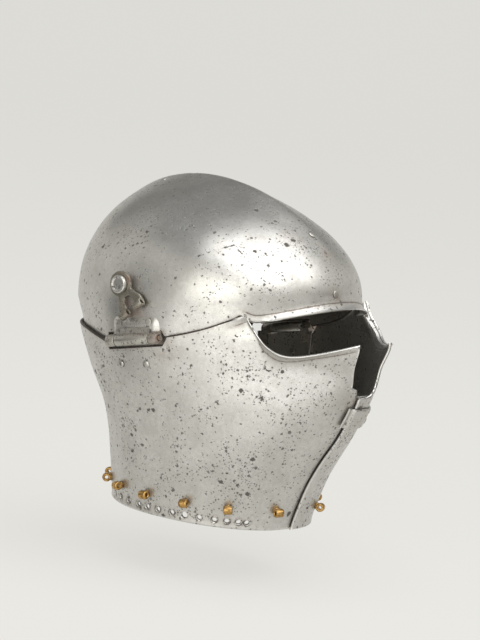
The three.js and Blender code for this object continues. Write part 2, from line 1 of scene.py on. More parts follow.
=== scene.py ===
# Looks of the close helmet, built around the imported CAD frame. Shapes are computed in the head
# frame in millimetres (front -Y, wearer's left +X, up +Z) and then set level on the rim, in metres.
import math

import bpy
import numpy as np
from mathutils import Matrix, Vector


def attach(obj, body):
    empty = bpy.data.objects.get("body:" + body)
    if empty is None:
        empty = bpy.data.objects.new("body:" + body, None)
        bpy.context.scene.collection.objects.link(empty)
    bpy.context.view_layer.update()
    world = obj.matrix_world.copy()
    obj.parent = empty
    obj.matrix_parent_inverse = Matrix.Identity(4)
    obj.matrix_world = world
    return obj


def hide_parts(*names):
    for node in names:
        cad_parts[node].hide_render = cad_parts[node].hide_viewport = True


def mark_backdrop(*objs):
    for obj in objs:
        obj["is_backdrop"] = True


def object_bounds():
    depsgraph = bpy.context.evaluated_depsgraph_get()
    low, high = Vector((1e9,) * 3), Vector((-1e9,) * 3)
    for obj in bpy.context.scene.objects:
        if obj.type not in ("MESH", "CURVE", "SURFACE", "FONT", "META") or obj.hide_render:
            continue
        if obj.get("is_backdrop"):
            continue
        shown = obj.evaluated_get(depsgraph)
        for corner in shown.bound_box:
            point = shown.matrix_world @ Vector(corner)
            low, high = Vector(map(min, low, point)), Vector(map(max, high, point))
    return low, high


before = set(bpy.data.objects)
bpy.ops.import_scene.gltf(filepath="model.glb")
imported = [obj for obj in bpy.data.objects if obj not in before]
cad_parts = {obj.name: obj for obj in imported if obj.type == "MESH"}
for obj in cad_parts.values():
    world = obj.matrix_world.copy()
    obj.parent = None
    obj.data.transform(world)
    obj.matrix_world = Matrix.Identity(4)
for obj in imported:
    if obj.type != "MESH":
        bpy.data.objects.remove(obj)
CAD_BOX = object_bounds()

# ---------- driving dimensions, as in the CAD ----------
PLATE = 2.0
SKULL_INSET = 3.1
SKULL_FRONT = 112.8
EQUATOR_Z = 180.0
DOME_RISE = 82.8
DOME_SHIFT = 24.3
KEEL_HEIGHT = 9.9
KEEL_WIDTH = 24.0
TILT = math.radians(8)
RIM_LEVEL = 17.3
RIM_SLOPE = math.tan(TILT)
STAND_SHIFT_Y = -8.27
LAP = 1.4
LAP_EDGE = 6.0
FLANGE = 14.0
SIGHT_LIP = 5.5
BROW_LIP = 5.0
LIP_FALL = 3.2
HINGE = dict(x=97.0, y=5.0, z=151.1, slope=math.radians(4.6), length=48.0, end=8.0)
KNUCKLE = dict(r=4.5, bore=2.15, pin=1.7)
PIVOT = dict(y=14.4, z=191.5)
ARM = dict(inner=98.9, thick=2.2, eye=11.4, reach=21.5, width=23.0)
LEAF = dict(lift=0.35, thick=1.4, top=168.5)
CLASP = dict(z0=86.6, z1=101.0, thick=1.6, lift=0.35, drop=2.7, rivet_x=27.0)
RIVET_HOLE = 1.9   # radii of the drilled holes
RIM_HOLE, WIDE_RIM_HOLE = 1.65, 2.3
VERVELLE_HOLE = 1.85
PIVOT_HOLE = 3.2
EDGE_ROUND = 0.9   # how far a plate's rounded edge bulges past its last row
DEG = math.pi / 180

# z, half width, widest y, front y, rear y, half facet, crease angle, front handle, side handle
STATIONS = np.array([
    [0, 68, 12, -67, 86, 5, 4, 0.58, 0.56],
    [20, 69, 12, -75, 86, 6, 8, 0.6, 0.58],
    [40, 72, 11, -85, 85, 6, 10, 0.62, 0.6],
    [60, 76, 10, -99, 84, 7, 14, 0.62, 0.6],
    [80, 80, 8, -115, 84, 8, 20, 0.6, 0.58],
    [100, 85, 6, -128, 87, 9, 28, 0.58, 0.55],
    [127, 92.5, 3, -140, 98, 11, 36, 0.52, 0.5],
    [150, 97.5, 1, -150, 107, 12, 38, 0.5, 0.45],
    [165, 99.2, 0, -129, 110.8, 11, 22, 0.5, 0.5],
    [180, 99.8, 0, -116, 115.9, 8, 2, 0.55, 0.55],
], float)
STATION_Z = STATIONS[:, 0]
_n = len(STATIONS)
STATION_SLOPE = np.array([(STATIONS[min(_n - 1, k + 1), 1:] - STATIONS[max(0, k - 1), 1:])
                          / (STATION_Z[min(_n - 1, k + 1)] - STATION_Z[max(0, k - 1)])
                          for k in range(_n)])


# ---------- maths helpers ----------
def smooth(a, b, x):
    t = np.clip((np.asarray(x, float) - a) / (b - a), 0, 1)
    return t * t * (3 - 2 * t)


def unit(v):
    return v / np.maximum(np.linalg.norm(v, axis=-1, keepdims=True), 1e-12)


def to_row(p):
    """head frame in millimetres to the row frame in metres"""
    p = np.asarray(p, float)
    c, s = math.cos(TILT), math.sin(TILT)
    out = np.stack([p[..., 0], p[..., 1] * c + p[..., 2] * s + STAND_SHIFT_Y,
                    -p[..., 1] * s + p[..., 2] * c - RIM_LEVEL * c], -1)
    return out / 1000


def station(z):
    z = np.asarray(z, float)
    i = np.clip(np.searchsorted(STATION_Z, z, side="right") - 1, 0, _n - 2)
    h = (STATION_Z[i + 1] - STATION_Z[i])[..., None]
    t = (z - STATION_Z[i])[..., None] / h
    p = ((2 * t ** 3 - 3 * t * t + 1) * STATIONS[i, 1:] + (t ** 3 - 2 * t * t + t) * STATION_SLOPE[i] * h
         + (3 * t * t - 2 * t ** 3) * STATIONS[i + 1, 1:] + (t ** 3 - t * t) * STATION_SLOPE[i + 1] * h)
    return np.moveaxis(p, -1, 0)


def half_section(s, z):
    """s = 0 front, 1 crease, 2 side, 3 rear"""
    s, z = np.broadcast_arrays(np.asarray(s, float), np.asarray(z, float))
    A, y0, yF, yR, f, crease, h1, h2 = station(z)
    t = np.clip(s - 1, 0, 1)
    be, a, b = crease * DEG, h1 * (A - f), h2 * (y0 - yF)
    w = [(1 - t) ** 3, 3 * t * (1 - t) ** 2, 3 * t * t * (1 - t), t ** 3]
    bx = w[0] * f + w[1] * (f + a * np.cos(be)) + (w[2] + w[3]) * A
    by = w[0] * yF + w[1] * (yF + a * np.sin(be)) + w[2] * (y0 - b) + w[3] * y0
    q = (s - 2) * math.pi / 2
    x = np.where(s <= 1, f * s, np.where(s <= 2, bx, A * np.cos(q)))
    y = np.where(s <= 1, yF, np.where(s <= 2, by, y0 + (yR - y0) * np.sin(q)))
    return x, y


def bisect(goal, func, lo, hi):
    goal = np.asarray(goal, float)
    lo, hi = np.full(goal.shape, lo, float), np.full(goal.shape, hi, float)
    for _ in range(34):
        mid = (lo + hi) / 2
        less = func(mid) < goal
        lo, hi = np.where(less, mid, lo), np.where(less, hi, mid)
    return lo


def s_at_x(x, z):
    return np.sign(x) * bisect(np.abs(x), lambda m: half_section(m, z)[0], 0, 1.9)


def s_at_y(y, z):
    return bisect(y, lambda m: half_section(m, z)[1], 1.2, 2.95)


def cheek_face(side, s, z):
    s, z = np.broadcast_arrays(np.asarray(s, float), np.asarray(z, float))
    x, y = half_section(np.abs(s), z)
    return np.stack([side * np.where(s < 0, -1, 1) * x, y, z], -1)


def cheek_normal(side, s, z):
    ds = cheek_face(side, s + 0.12, z) - cheek_face(side, s - 0.12, z)
    dz = cheek_face(side, s, z + 2) - cheek_face(side, s, z - 2)
    return unit(np.cross(ds, dz)) * side


def lap_step(side, s, z):
    x = np.where(s < 0, -1, 1) * half_section(np.abs(s), z)[0]
    fade = (1 - smooth(114, 136, z)) * (np.asarray(s) <= 1.9)
    return (LAP * fade * (1 - smooth(14, 42, x))) if side > 0 else (-LAP * fade * (1 - smooth(9, 26, x)))


def cheek_point(side, s, z, offset=0.0):
    s, z = np.broadcast_arrays(np.asarray(s, float), np.asarray(z, float))
    off = np.asarray(offset) + lap_step(side, s, z)
    return cheek_face(side, s, z) + cheek_normal(side, s, z) * off[..., None]


def skull_face(phi, z, t):
    phi, z, t = np.broadcast_arrays(np.asarray(phi, float), np.asarray(z, float), np.asarray(t, float))
    tc = np.clip(t, 0, 1)
    c, q = np.cos(tc * math.pi / 2), np.sin(tc * math.pi / 2)
    A = float(station(EQUATOR_Z)[0]) - SKULL_INSET
    p = np.stack([A * np.sin(phi) * c, DOME_SHIFT * q * q - SKULL_FRONT * np.cos(phi) * c,
                  EQUATOR_Z + DOME_RISE * q], -1)
    n = unit(np.stack([np.sin(phi) * c / A, -np.cos(phi) * c / SKULL_FRONT, q / DOME_RISE], -1))
    keel = KEEL_HEIGHT * q ** 2.42 * np.exp(-(np.hypot(p[..., 0], 3) - 3) / KEEL_WIDTH)
    dome = p + n * keel[..., None]
    st = station(z)
    tuck = 1.2 * smooth(2.58, 2.72, np.abs(phi)) * (1 - smooth(140, 170, z))
    depth = np.where(np.cos(phi) < 0, st[3] - SKULL_INSET - tuck - st[1], SKULL_FRONT + st[1])
    wall = np.stack([(st[0] - SKULL_INSET) * np.sin(phi), st[1] - depth * np.cos(phi), z], -1)
    return np.where((t > 0)[..., None], dome, wall)


def skull_normal(phi, z, t):
    phi, z, t = np.broadcast_arrays(np.asarray(phi, float), np.asarray(z, float), np.asarray(t, float))
    e = 0.02
    dp = skull_face(phi + e, z, t) - skull_face(phi - e, z, t)
    up_dome = skull_face(phi, z, np.minimum(1, t + e)) - skull_face(phi, z, np.maximum(1e-4, t - e))
    up_wall = skull_face(phi, z + 1, 0) - skull_face(phi, z - 1, 0)
    return unit(np.cross(dp, np.where((t > 0)[..., None], up_dome, up_wall)))


def skull_phi(side, y, z):
    return side * bisect(y, lambda m: skull_face(m, z, 0)[..., 1], 0, math.pi)


# slow, even undulation of hammered plate, in millimetres, the same for both faces of a plate
_rng = np.random.default_rng(7)
WAVES = [(unit(_rng.normal(size=3)), 2 * math.pi / wl, _rng.uniform(0, 6.3), amp)
         for wl, amp in ((62, .055), (48, .05), (39, .045), (31, .04), (26, .03), (21, .025))
         for _ in range(3)]


def hammered(p):
    return sum(amp * np.sin(p @ d * k + ph) for d, k, ph, amp in WAVES)


# ---------- mesh helpers ----------
def mesh_object(name, verts_mm, faces, material_ids=None, attrs=None):
    me = bpy.data.meshes.new(name)
    me.from_pydata([tuple(v) for v in to_row(verts_mm)], [], [tuple(f) for f in faces])
    if material_ids is not None:
        me.polygons.foreach_set("material_index", np.asarray(material_ids, np.int32))
    for key, values in (attrs or {}).items():
        me.attributes.new(key, "FLOAT", "POINT").data.foreach_set("value", np.asarray(values, np.float32))
    me.validate()
    obj = bpy.data.objects.new(name, me)
    bpy.context.scene.collection.objects.link(obj)
    return obj


def finish_mesh(obj, angle=38):
    me = obj.data
    flat = np.empty(len(me.vertices) * 3, np.float32)
    me.vertices.foreach_get("co", flat)
    inside = np.clip(flat.reshape(-1, 3), *CAD_BOX)   # hammering must not make the plates bigger than the CAD
    me.vertices.foreach_set("co", inside.astype(np.float32).ravel())
    me.polygons.foreach_set("use_smooth", np.ones(len(me.polygons), bool))
    me.set_sharp_from_angle(angle=angle * DEG)
    me.update()
    return obj


def boolean(obj, cutter, operation):
    mod = obj.modifiers.new("cut", "BOOLEAN")
    mod.operation, mod.object, mod.solver = operation, cutter, "MANIFOLD"
    bpy.context.view_layer.update()
    new = bpy.data.meshes.new_from_object(obj.evaluated_get(bpy.context.evaluated_depsgraph_get()))
    obj.modifiers.clear()
    old, obj.data = obj.data, new
    bpy.data.meshes.remove(old)
    bpy.data.objects.remove(cutter)
    return obj


def bevel(obj, width, segments=3, angle=35):
    """rounds the sharp edges of a mesh, width in millimetres"""
    mod = obj.modifiers.new("round", "BEVEL")
    mod.width, mod.segments, mod.limit_method = width / 1000, segments, "ANGLE"
    mod.angle_limit, mod.harden_normals = angle * DEG, False
    mod.use_clamp_overlap = True
    bpy.context.view_layer.update()
    new = bpy.data.meshes.new_from_object(obj.evaluated_get(bpy.context.evaluated_depsgraph_get()))
    obj.modifiers.clear()
    old, obj.data = obj.data, new
    bpy.data.meshes.remove(old)
    return obj


def basis(axis):
    axis = unit(np.asarray(axis, float))
    ref = np.array([0, 0, 1.0]) if abs(axis[2]) < 0.9 else np.array([1.0, 0, 0])
    u = unit(np.cross(ref, axis))
    return u, np.cross(axis, u), axis


def lathe_data(profile, at, axis, segments=32):
    """closed turned solid; profile runs (radius, height) from the axis back to the axis, or is a loop"""
    u, v, w = basis(axis)
    on_axis = profile[0][0] == 0
    ring = [p for p in profile if p[0] > 0]
    ang = np.arange(segments) * 2 * math.pi / segments
    verts, faces = [], []
    for r, h in ring:
        verts += [at + w * h + (u * math.cos(a) + v * math.sin(a)) * r for a in ang]
    m = len(ring)
    for k in range(m - (1 if on_axis else 0)):
        k2 = (k + 1) % m
        for i in range(segments):
            j = (i + 1) % segments
            faces.append((k * segments + i, k * segments + j, k2 * segments + j, k2 * segments + i))
    if on_axis:
        low, high = len(verts), len(verts) + 1
        verts += [at + w * profile[0][1], at + w * profile[-1][1]]
        for i in range(segments):
            j = (i + 1) % segments
            faces.append((low, j, i))
            faces.append((high, (m - 1) * segments + i, (m - 1) * segments + j))
    return np.array(verts), faces


def merge(parts):
    verts, faces, base = [], [], 0
    for v, f in parts:
        verts.append(v)
        faces += [tuple(i + base for i in face) for face in f]
        base += len(v)
    return np.concatenate(verts), faces


def lathe(name, profile, at, axis, segments=32):
    return mesh_object(name, *lathe_data(profile, np.asarray(at, float), axis, segments))


def rounded(points, radius, steps=3):
    """rounds the inner corners of an open 2-D profile"""
    pts = [np.array(p, float) for p in points]
    out = [tuple(pts[0])]
    for a, b, c in zip(pts, pts[1:], pts[2:]):
        la, lc = np.linalg.norm(a - b), np.linalg.norm(c - b)
        r = min(radius, 0.45 * la, 0.45 * lc)
        p0, p1 = b + (a - b) / la * r, b + (c - b) / lc * r
        for k in range(steps + 1):
            t = k / steps
            out.append(tuple((1 - t) ** 2 * p0 + 2 * t * (1 - t) * b + t * t * p1))
    out.append(tuple(pts[-1]))
    return out


def tube_data(outer, inner, length, at, axis, segments=36, chamfer=0.45):
    h, c = length / 2, chamfer
    d = 0.29 * c
    loop = [(inner, -h + c), (inner + c, -h), (outer - c, -h), (outer - d, -h + d), (outer, -h + c),
            (outer, h - c), (outer - d, h - d), (outer - c, h), (inner + c, h), (inner, h - c)]
    return lathe_data(loop, np.asarray(at, float), axis, segments)


def grid_plate(outer, inner, closed=False, edge=None, crevice=None, rim_steps=5, bulge=EDGE_ROUND):
    """closed plate between two point grids [column, row], with rounded free edges.
    A closed grid wraps round in its columns and ends at a pole in its last row."""
    nu, nv = outer.shape[:2]
    n_grid = nu * nv
    ids = np.arange(n_grid).reshape(nu, nv)
    if closed:
        loop = [(i, 0) for i in range(nu)]
    else:
        loop = ([(i, 0) for i in range(nu)] + [(nu - 1, j) for j in range(1, nv)]
                + [(i, nv - 1) for i in range(nu - 2, -1, -1)] + [(0, j) for j in range(nv - 2, 0, -1)])
    li, lj = np.array([k[0] for k in loop]), np.array([k[1] for k in loop])
    mid = (outer + inner) / 2
    ring = mid[li, lj]
    tangent = unit(np.roll(ring, -1, 0) - np.roll(ring, 1, 0))
    normal = unit(outer[li, lj] - inner[li, lj])
    ii = np.where(li == 0, 1, li - 1)
    jj = np.where(lj == 0, 1, lj - 1)
    away = np.zeros_like(ring)
    if not closed:
        on_u = (li == 0) | (li == nu - 1)
        away += np.where(on_u[:, None], unit(ring - mid[ii, lj]), 0)
    on_v = (lj == 0) | ((lj == nv - 1) & (not closed))
    away += np.where(on_v[:, None], unit(ring - mid[li, jj]), 0)
    away -= (away * tangent).sum(-1, keepdims=True) * tangent
    away -= (away * normal).sum(-1, keepdims=True) * normal
    away = unit(away)
    outer, inner = outer.copy(), inner.copy()
    outer[li, lj] -= away * bulge
    inner[li, lj] -= away * bulge
    verts = [outer.reshape(-1, 3), inner.reshape(-1, 3)]
    half = (outer[li, lj] - inner[li, lj]) / 2
    centre = (outer[li, lj] + inner[li, lj]) / 2
    for k in range(1, rim_steps):
        a = math.pi * k / rim_steps
        verts.append(centre + half * math.cos(a) + away * bulge * math.sin(a))
    faces, mats = [], []

    def add(a, b, c, d, m):
        faces.append((a, b, c, d))
        mats.append(m)

    for i in range(nu if closed else nu - 1):
        i2 = (i + 1) % nu
        for j in range(nv - 1):
            add(ids[i, j], ids[i2, j], ids[i2, j + 1], ids[i, j + 1], 0)
            add(n_grid + ids[i, j], n_grid + ids[i, j + 1], n_grid + ids[i2, j + 1], n_grid + ids[i2, j], 1)
    loop_id = ids[li, lj]
    n_loop = len(loop)
    for k in range(n_loop):
        k2 = (k + 1) % n_loop
        cols = [(loop_id[k], loop_id[k2])]
        cols += [(2 * n_grid + r * n_loop + k, 2 * n_grid + r * n_loop + k2) for r in range(rim_steps - 1)]
        cols += [(n_grid + loop_id[k], n_grid + loop_id[k2])]
        for (a, b), (c, d) in zip(cols, cols[1:]):
            add(b, a, c, d, 0)
    verts = np.concatenate(verts)
    edge, crevice = (np.full((nu, nv), w) if v is None else v for v, w in ((edge, .6), (crevice, 0.0)))
    marks = {key: np.concatenate([v.ravel(), v.ravel(), np.tile(v[li, lj], rim_steps - 1)])
             for key, v in (("edge", edge), ("crevice", crevice))}
    if closed:
        poles = [outer[:, -1].mean(0), inner[:, -1].mean(0)]
        base = len(verts)
        verts = np.concatenate([verts, poles])
        marks = {k: np.concatenate([v, [0, 0]]) for k, v in marks.items()}
        for i in range(nu):
            i2 = (i + 1) % nu
            faces.append((ids[i, -1], ids[i2, -1], base))
            faces.append((n_grid + ids[i2, -1], n_grid + ids[i, -1], base + 1))
            mats += [0, 1]
    return verts, faces, mats, marks


def plate_object(name, side, outer, inner, **kw):
    verts, faces, mats, marks = grid_plate(outer, inner, **kw)
    if side < 0:
        faces = [f[::-1] for f in faces]
    return mesh_object(name, verts, faces, mats, marks)


def catmull(points, t):
    """smooth curve through the rows of points, t in index units"""
    p = np.asarray(points, float)
    i = np.clip(np.floor(t).astype(int), 0, len(p) - 2)
    f = (t - i)[:, None]
    ext = np.concatenate([[2 * p[0] - p[1]], p, [2 * p[-1] - p[-2]]])
    a, b, c, d = ext[i], ext[i + 1], ext[i + 2], ext[i + 3]
    square, cube = 2 * a - 5 * b + 4 * c - d, 3 * b - 3 * c + d - a
    return 0.5 * (2 * b + (c - a) * f + square * f ** 2 + cube * f ** 3)


def fine_columns(columns, corners, length_of, step):
    """splines the columns between corner indices and samples them about every step millimetres"""
    out = []
    for a, b in zip(corners, corners[1:]):
        pts = np.asarray(columns[a:b + 1], float)
        t = np.linspace(0, b - a, 40 * (b - a) + 1)
        dense = catmull(pts, t)
        run = np.concatenate([[0], np.cumsum(length_of(dense))])
        n = max(1, int(round(run[-1] / step)))
        pick = np.interp(np.linspace(0, run[-1], n + 1), run, t)
        fine = catmull(pts, pick)
        out.append(fine[:-1] if b != corners[-1] else fine)
    return np.concatenate(out)


# ---------- cheekpieces ----------
def rim_z(side, s):
    s = np.asarray(s, float)
    z = np.full(s.shape, 10.0)
    for _ in range(40):
        z = RIM_LEVEL + RIM_SLOPE * cheek_point(side, s, z)[..., 1]
    return z


def rim_s_at_x(side, x):
    s = 0.5
    for _ in range(12):
        s = float(s_at_x(np.array(x), rim_z(side, s)))
    return s


def notch_z(s):
    y = cheek_face(1, s, HINGE["z"])[..., 1]
    return HINGE["z"] - 5.3 - (y - HINGE["y"]) * math.tan(HINGE["slope"])


# front columns: [x or (section) of the lower end, x or (section) of the upper end, upper z]
FRONT_COLUMNS = [
    (("x", -3), ("x", -3), 108.6), (("x", 3.6), ("x", 3.6), 109), (("x", 8.6), ("x", 8.6), 111.4),
    (("s", 1.1), ("x", 12.6), 115), (("s", 1.16), ("x", 14.8), 120.5), (("s", 1.22), ("x", 16.6), 127),
    (("s", 1.27), ("x", 18.4), 134), (("s", 1.32), ("x", 19.8), 141), (("s", 1.38), ("x", 20.2), 148.6)]
# the two sides were hammered by hand and aren't quite alike
SIDE_COLUMNS = {
    -1: [(1.44, 1.168, 146.4), (1.49, 1.26, 144.3), (1.54, 1.346, 142.3), (1.58, 1.4, 142.1),
         (1.62, 1.444, 144.1), (1.65, 1.485, 149.2), (1.68, 1.503, 155), (1.71, 1.505, 163),
         (1.74, 1.51, 171), (1.78, 1.6, 166.3), (1.83, 1.7, 161), (1.88, 1.8, 156.8),
         (1.915, 1.872, 154.4)],
    1: [(1.44, 1.168, 147.2), (1.49, 1.25, 146.2), (1.54, 1.32, 146.2), (1.58, 1.37, 147.5),
        (1.62, 1.405, 150.5), (1.65, 1.43, 155.5), (1.68, 1.44, 161), (1.71, 1.445, 168),
        (1.74, 1.455, 176), (1.78, 1.56, 169.4), (1.83, 1.68, 162.2), (1.88, 1.79, 157.1),
        (1.915, 1.872, 154.4)]}
LIP_SHARE = ((9, 10, 11, 16, 17, 18, 19), (0, .6, 1, 1, .9, .55, 0))   # along the outline columns
REAR_COLUMNS = [(2.225, 2.212, 149), (2.265, 2.255, 151.2), (2.32, 2.31, 153.6), (2.39, 2.385, 156.6),
                (2.46, 2.46, 158.6), (2.53, 2.53, 160), (2.6, 2.6, 160.9), (2.67, 2.67, 161.5),
                (2.74, 2.74, 161.9), (2.82, 2.82, 162.1), (2.9, 2.9, 162.2)]
CHEEK_CORNERS = [0, 9, 18, 22, 23, 27, 28, 38]
SIGHT_RUN = (9, 18)


def cheek_columns(side):
    free = LAP_EDGE if side > 0 else FLANGE
    front = [(("x", -free), ("x", -free), 108.5)] + FRONT_COLUMNS
    cols = []
    for (kb, b), (kt, t), z in front:
        sb = rim_s_at_x(side, b) if kb == "x" else b
        st = float(s_at_x(np.array(float(t)), z)) if kt == "x" else t
        cols.append([sb, st, z])
    cols += [list(c) for c in SIDE_COLUMNS[side]]
    notch = ((1.94, 1.893), (2, 2), (2.07, 2.07), (2.14, 2.14), (2.19, 2.19))
    cols += [[b, t, float(notch_z(t))] for b, t in notch]
    return cols + [list(c) for c in REAR_COLUMNS]


VERVELLE_S = [1.172, 1.52, 1.788, 2.02, 2.284, 2.53, 2.735]
RIM_HOLE_S = [1.37, 1.43, 1.511, 1.595, 1.695, 1.789, 1.867, 1.952, 2.021, 2.101, 2.2, 2.3, 2.4]
VERVELLE_UP = 15.5
RIM_HOLE_UP = 5.6
LOWER_RIVETS = [(-4.3, 133), (20.5, 132.4)]
UPPER_RIVETS = [(-9, 164.5), (19, 163.2)]
CLASP_RIVETS = [90.2, 97.6]


def above_rim(side, s, up):
    z = float(rim_z(side, s)) + up
    return cheek_point(side, s, z), cheek_normal(side, s, z), z


def cheek_spot(side, y, z):
    s = float(s_at_y(np.array(float(y)), z))
    return cheek_point(side, s, z), cheek_normal(side, s, z)


def clasp_spot(z, offset=0.0):
    s = float(s_at_x(np.array(CLASP["rivet_x"]), z))
    return cheek_point(1, s, z, offset), cheek_normal(1, s, z)


def skull_spot(side, y, z, offset=0.0):
    phi = float(skull_phi(side, np.array(float(y)), z))
    n = skull_normal(phi, z, 0)
    return skull_face(phi, z, 0) + n * offset, n


def row_fractions(length, step, near=(1.3, 2.6, 4.0, 5.8)):
    """row positions along columns of the given lengths, closer together at both ends"""
    n = int(round(length.max() / step))
    inner = np.linspace(0, 1, n)
    ends = np.array(near)
    lo, hi = ends[None] / length[:, None], 1 - ends[::-1][None] / length[:, None]
    start, stop = (ends[-1] + step * .8) / length, 1 - (ends[-1] + step * .8) / length
    middle = start[:, None] + (stop - start)[:, None] * inner[None]
    zero, one = np.zeros((len(length), 1)), np.ones((len(length), 1))
    return np.concatenate([zero, lo, middle, hi, one], 1)


def drill_cutter(holes):
    parts = []
    for at, axis, r in holes:
        profile = [(0, -12), (r, -12), (r, -0.5), (r + 0.12, -0.2), (r + 0.5, 0.12), (r + 3.5, 3), (0, 3)]
        parts.append(lathe_data(profile, np.asarray(at, float), axis, 20))
    return mesh_object("cutter", *merge(parts))


def build_cheek(side):
    name = "left" if side > 0 else "right"

    def lengths(c):
        top = cheek_point(side, c[:, 1], c[:, 2])
        low = cheek_point(side, c[:, 0], rim_z(side, c[:, 0]))
        return np.maximum(*(np.linalg.norm(np.diff(p, axis=0), axis=1) for p in (top, low)))

    columns = cheek_columns(side)
    marks = np.concatenate([np.asarray(columns, float), np.arange(len(columns))[:, None]], 1)
    cols = fine_columns(marks, CHEEK_CORNERS, lengths, 2.0)
    sB, sT, zT, index = cols.T
    zB = rim_z(side, sB)
    length = np.linalg.norm(cheek_point(side, sT, zT) - cheek_point(side, sB, zB), axis=-1)
    v = row_fractions(length, 2.4)
    s = sB[:, None] + (sT - sB)[:, None] * v
    z = zB[:, None] + (zT - zB)[:, None] * v
    from_top, from_low = (1 - v) * length[:, None], v * length[:, None]
    first, last = SIGHT_RUN
    sight = smooth(first - .6, first + .2, index) * (1 - smooth(last + .3, last + 1.6, index))
    nose = smooth(2.2, 4, index) * (1 - smooth(8.4, 9.4, index))
    roll = np.maximum(sight, 0.35 * nose)[:, None]
    bead = roll * 0.9 * np.exp(-((from_top - 1.6) / 1.5) ** 2) + 0.3 * np.exp(-((from_low - 1.6) / 1.5) ** 2)
    lip = SIGHT_LIP * np.interp(index, *LIP_SHARE)[:, None] * np.exp(-from_top / LIP_FALL)
    wave = hammered(cheek_face(side, s, z)) * smooth(0, 14, np.minimum(from_top, from_low)) + lip
    outer = cheek_point(side, s, z, wave + bead)
    roll_back = .5 * sight[:, None] * np.exp(-((from_top - 1.2) / 1.5) ** 2)
    inner = cheek_point(side, s, z, wave - PLATE - roll_back)
    for p in (outer, inner):
        p[:, 0, 2] = RIM_LEVEL + RIM_SLOPE * p[:, 0, 1]
    from_side = np.minimum(np.arange(len(index)), len(index) - 1 - np.arange(len(index)))[:, None] * 2.0
    edge = np.exp(-np.minimum(np.minimum(from_top, from_low), from_side) / 1.6)
    # painted highlight: the bead of the sight's rolled rim is made lighter
    edge = np.maximum(edge, .8 * sight[:, None] * np.exp(-((from_top - 1.8) / 2.0) ** 2))
    holes = [(*above_rim(side, q, RIM_HOLE_UP)[:2], WIDE_RIM_HOLE if i == 5 else RIM_HOLE)
             for i, q in enumerate(RIM_HOLE_S)]
    spots = [h[0] for h in holes] + [above_rim(side, q, VERVELLE_UP)[0] for q in VERVELLE_S]
    away = np.min([np.linalg.norm(outer - p, axis=-1) for p in spots], axis=0)
    # painted shade: a dark ring round each rim hole and vervelle, a dark band in the crease under the sight's
    # lip, and a dark line along the cheek's top edge behind the sight, where it laps the skull; the same mask
    # also carries rust in these hollows
    groove_shade = .8 * sight[:, None] * np.exp(-((from_top - 5.4) / 1.3) ** 2)
    seam_shade = smooth(last + .2, last + 1.0, index)[:, None] * np.exp(-from_top / 1.4)
    crevice = np.maximum(np.maximum(1 - smooth(2.0, 4.6, away), groove_shade), seam_shade)
    plate = plate_object(f"{name}_cheek_plate", side, outer, inner, edge=edge, crevice=crevice)
    holes += [(*above_rim(side, q, VERVELLE_UP)[:2], VERVELLE_HOLE) for q in VERVELLE_S]
    holes += [(*cheek_spot(side, *p), RIVET_HOLE) for p in LOWER_RIVETS]
    if side > 0:
        holes += [(*clasp_spot(q), RIVET_HOLE) for q in CLASP_RIVETS]
    boolean(plate, drill_cutter(holes), "DIFFERENCE")
    dress(plate, f"{name}_cheek", [MAT["cheek"], MAT["inside"]], [f"{name}_cheekpiece"])
    for i, q in enumerate(VERVELLE_S):
        vervelle(side, q, f"{name}_vervelle_{i + 1}", f"{name}_cheek")


def dress(obj, body, materials, replaced, angle=38):
    finish_mesh(obj, angle)
    obj.data.materials.clear()
    for m in materials:
        obj.data.materials.append(m)
    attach(obj, body)
    if replaced:
        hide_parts(*replaced)
    return obj


def vervelle(side, s, node, body):
    at, axis, z = above_rim(side, s, VERVELLE_UP)
    tangent = unit(cheek_face(side, s + 0.05, z) - cheek_face(side, s - 0.05, z))
    collar = rounded([(0, -PLATE - 1.4), (2.7, -PLATE - 1.4), (2.7, -PLATE - 0.5), (1.5, -PLATE - 0.5),
                      (1.5, 0.25), (2.9, 0.25), (2.75, 1.0), (2.0, 2.0), (0, 2.0)], 0.35)
    obj = lathe("vervelle_" + node, collar, at, axis, 24)
    h, R, r = 3.3, 3.3, 1.45
    end = [(r, .5), (r + .35, .08), (r + .9, 0), (R - .75, .05), (R - .3, .35), (R - .08, .9), (R, 1.7)]
    barrel = [(q, -h + d) for q, d in end] + [(q, h - d) for q, d in reversed(end)]
    tube = mesh_object("tube", *lathe_data(barrel, at + axis * 3.9, tangent, 28))
    boolean(obj, tube, "UNION")
    dress(obj, body, [MAT["brass"]], [node])


# ---------- skull ----------
SKULL_EDGE = [
    (0, 172, 0), (10, 171.5, 10), (20, 169.8, 19), (30, 167.5, 28), (38, 165.2, 36), (43, 164.2, 42),
    (46.5, 166.3, 46), (49, 169, 50), (54, 164.6, 55), (61, 159.5, 62), (70, 155.3, 70), (76, 153.6, 76),
    (79.2, 153, 80), (80.6, 157.5, 83), (90, 156.6, 91), (100, 155.4, 100), (108.6, 154.2, 108),
    (110.2, 147.6, 111), (118, 151.6, 118), (126, 155.4, 126), (136.8, 158.2, 136), (148.5, 159.7, 147),
    (158, 160.4, 156), (165.5, 160.6, 162), (165, 135, 164), (164, 110, 166), (163, 80, 168), (162, 50, 170),
    (161, None, 172), (170, None, 176), (180, None, 180)]
SKULL_CORNERS = [0, 7, 12, 13, 16, 17, 23, 28, 30]
BROW_END = 7


def tail_rim_z(phi):
    z = 25.0
    for _ in range(40):
        z = RIM_LEVEL + RIM_SLOPE * float(skull_face(phi, z, 0)[1]) + 1.2
    return z


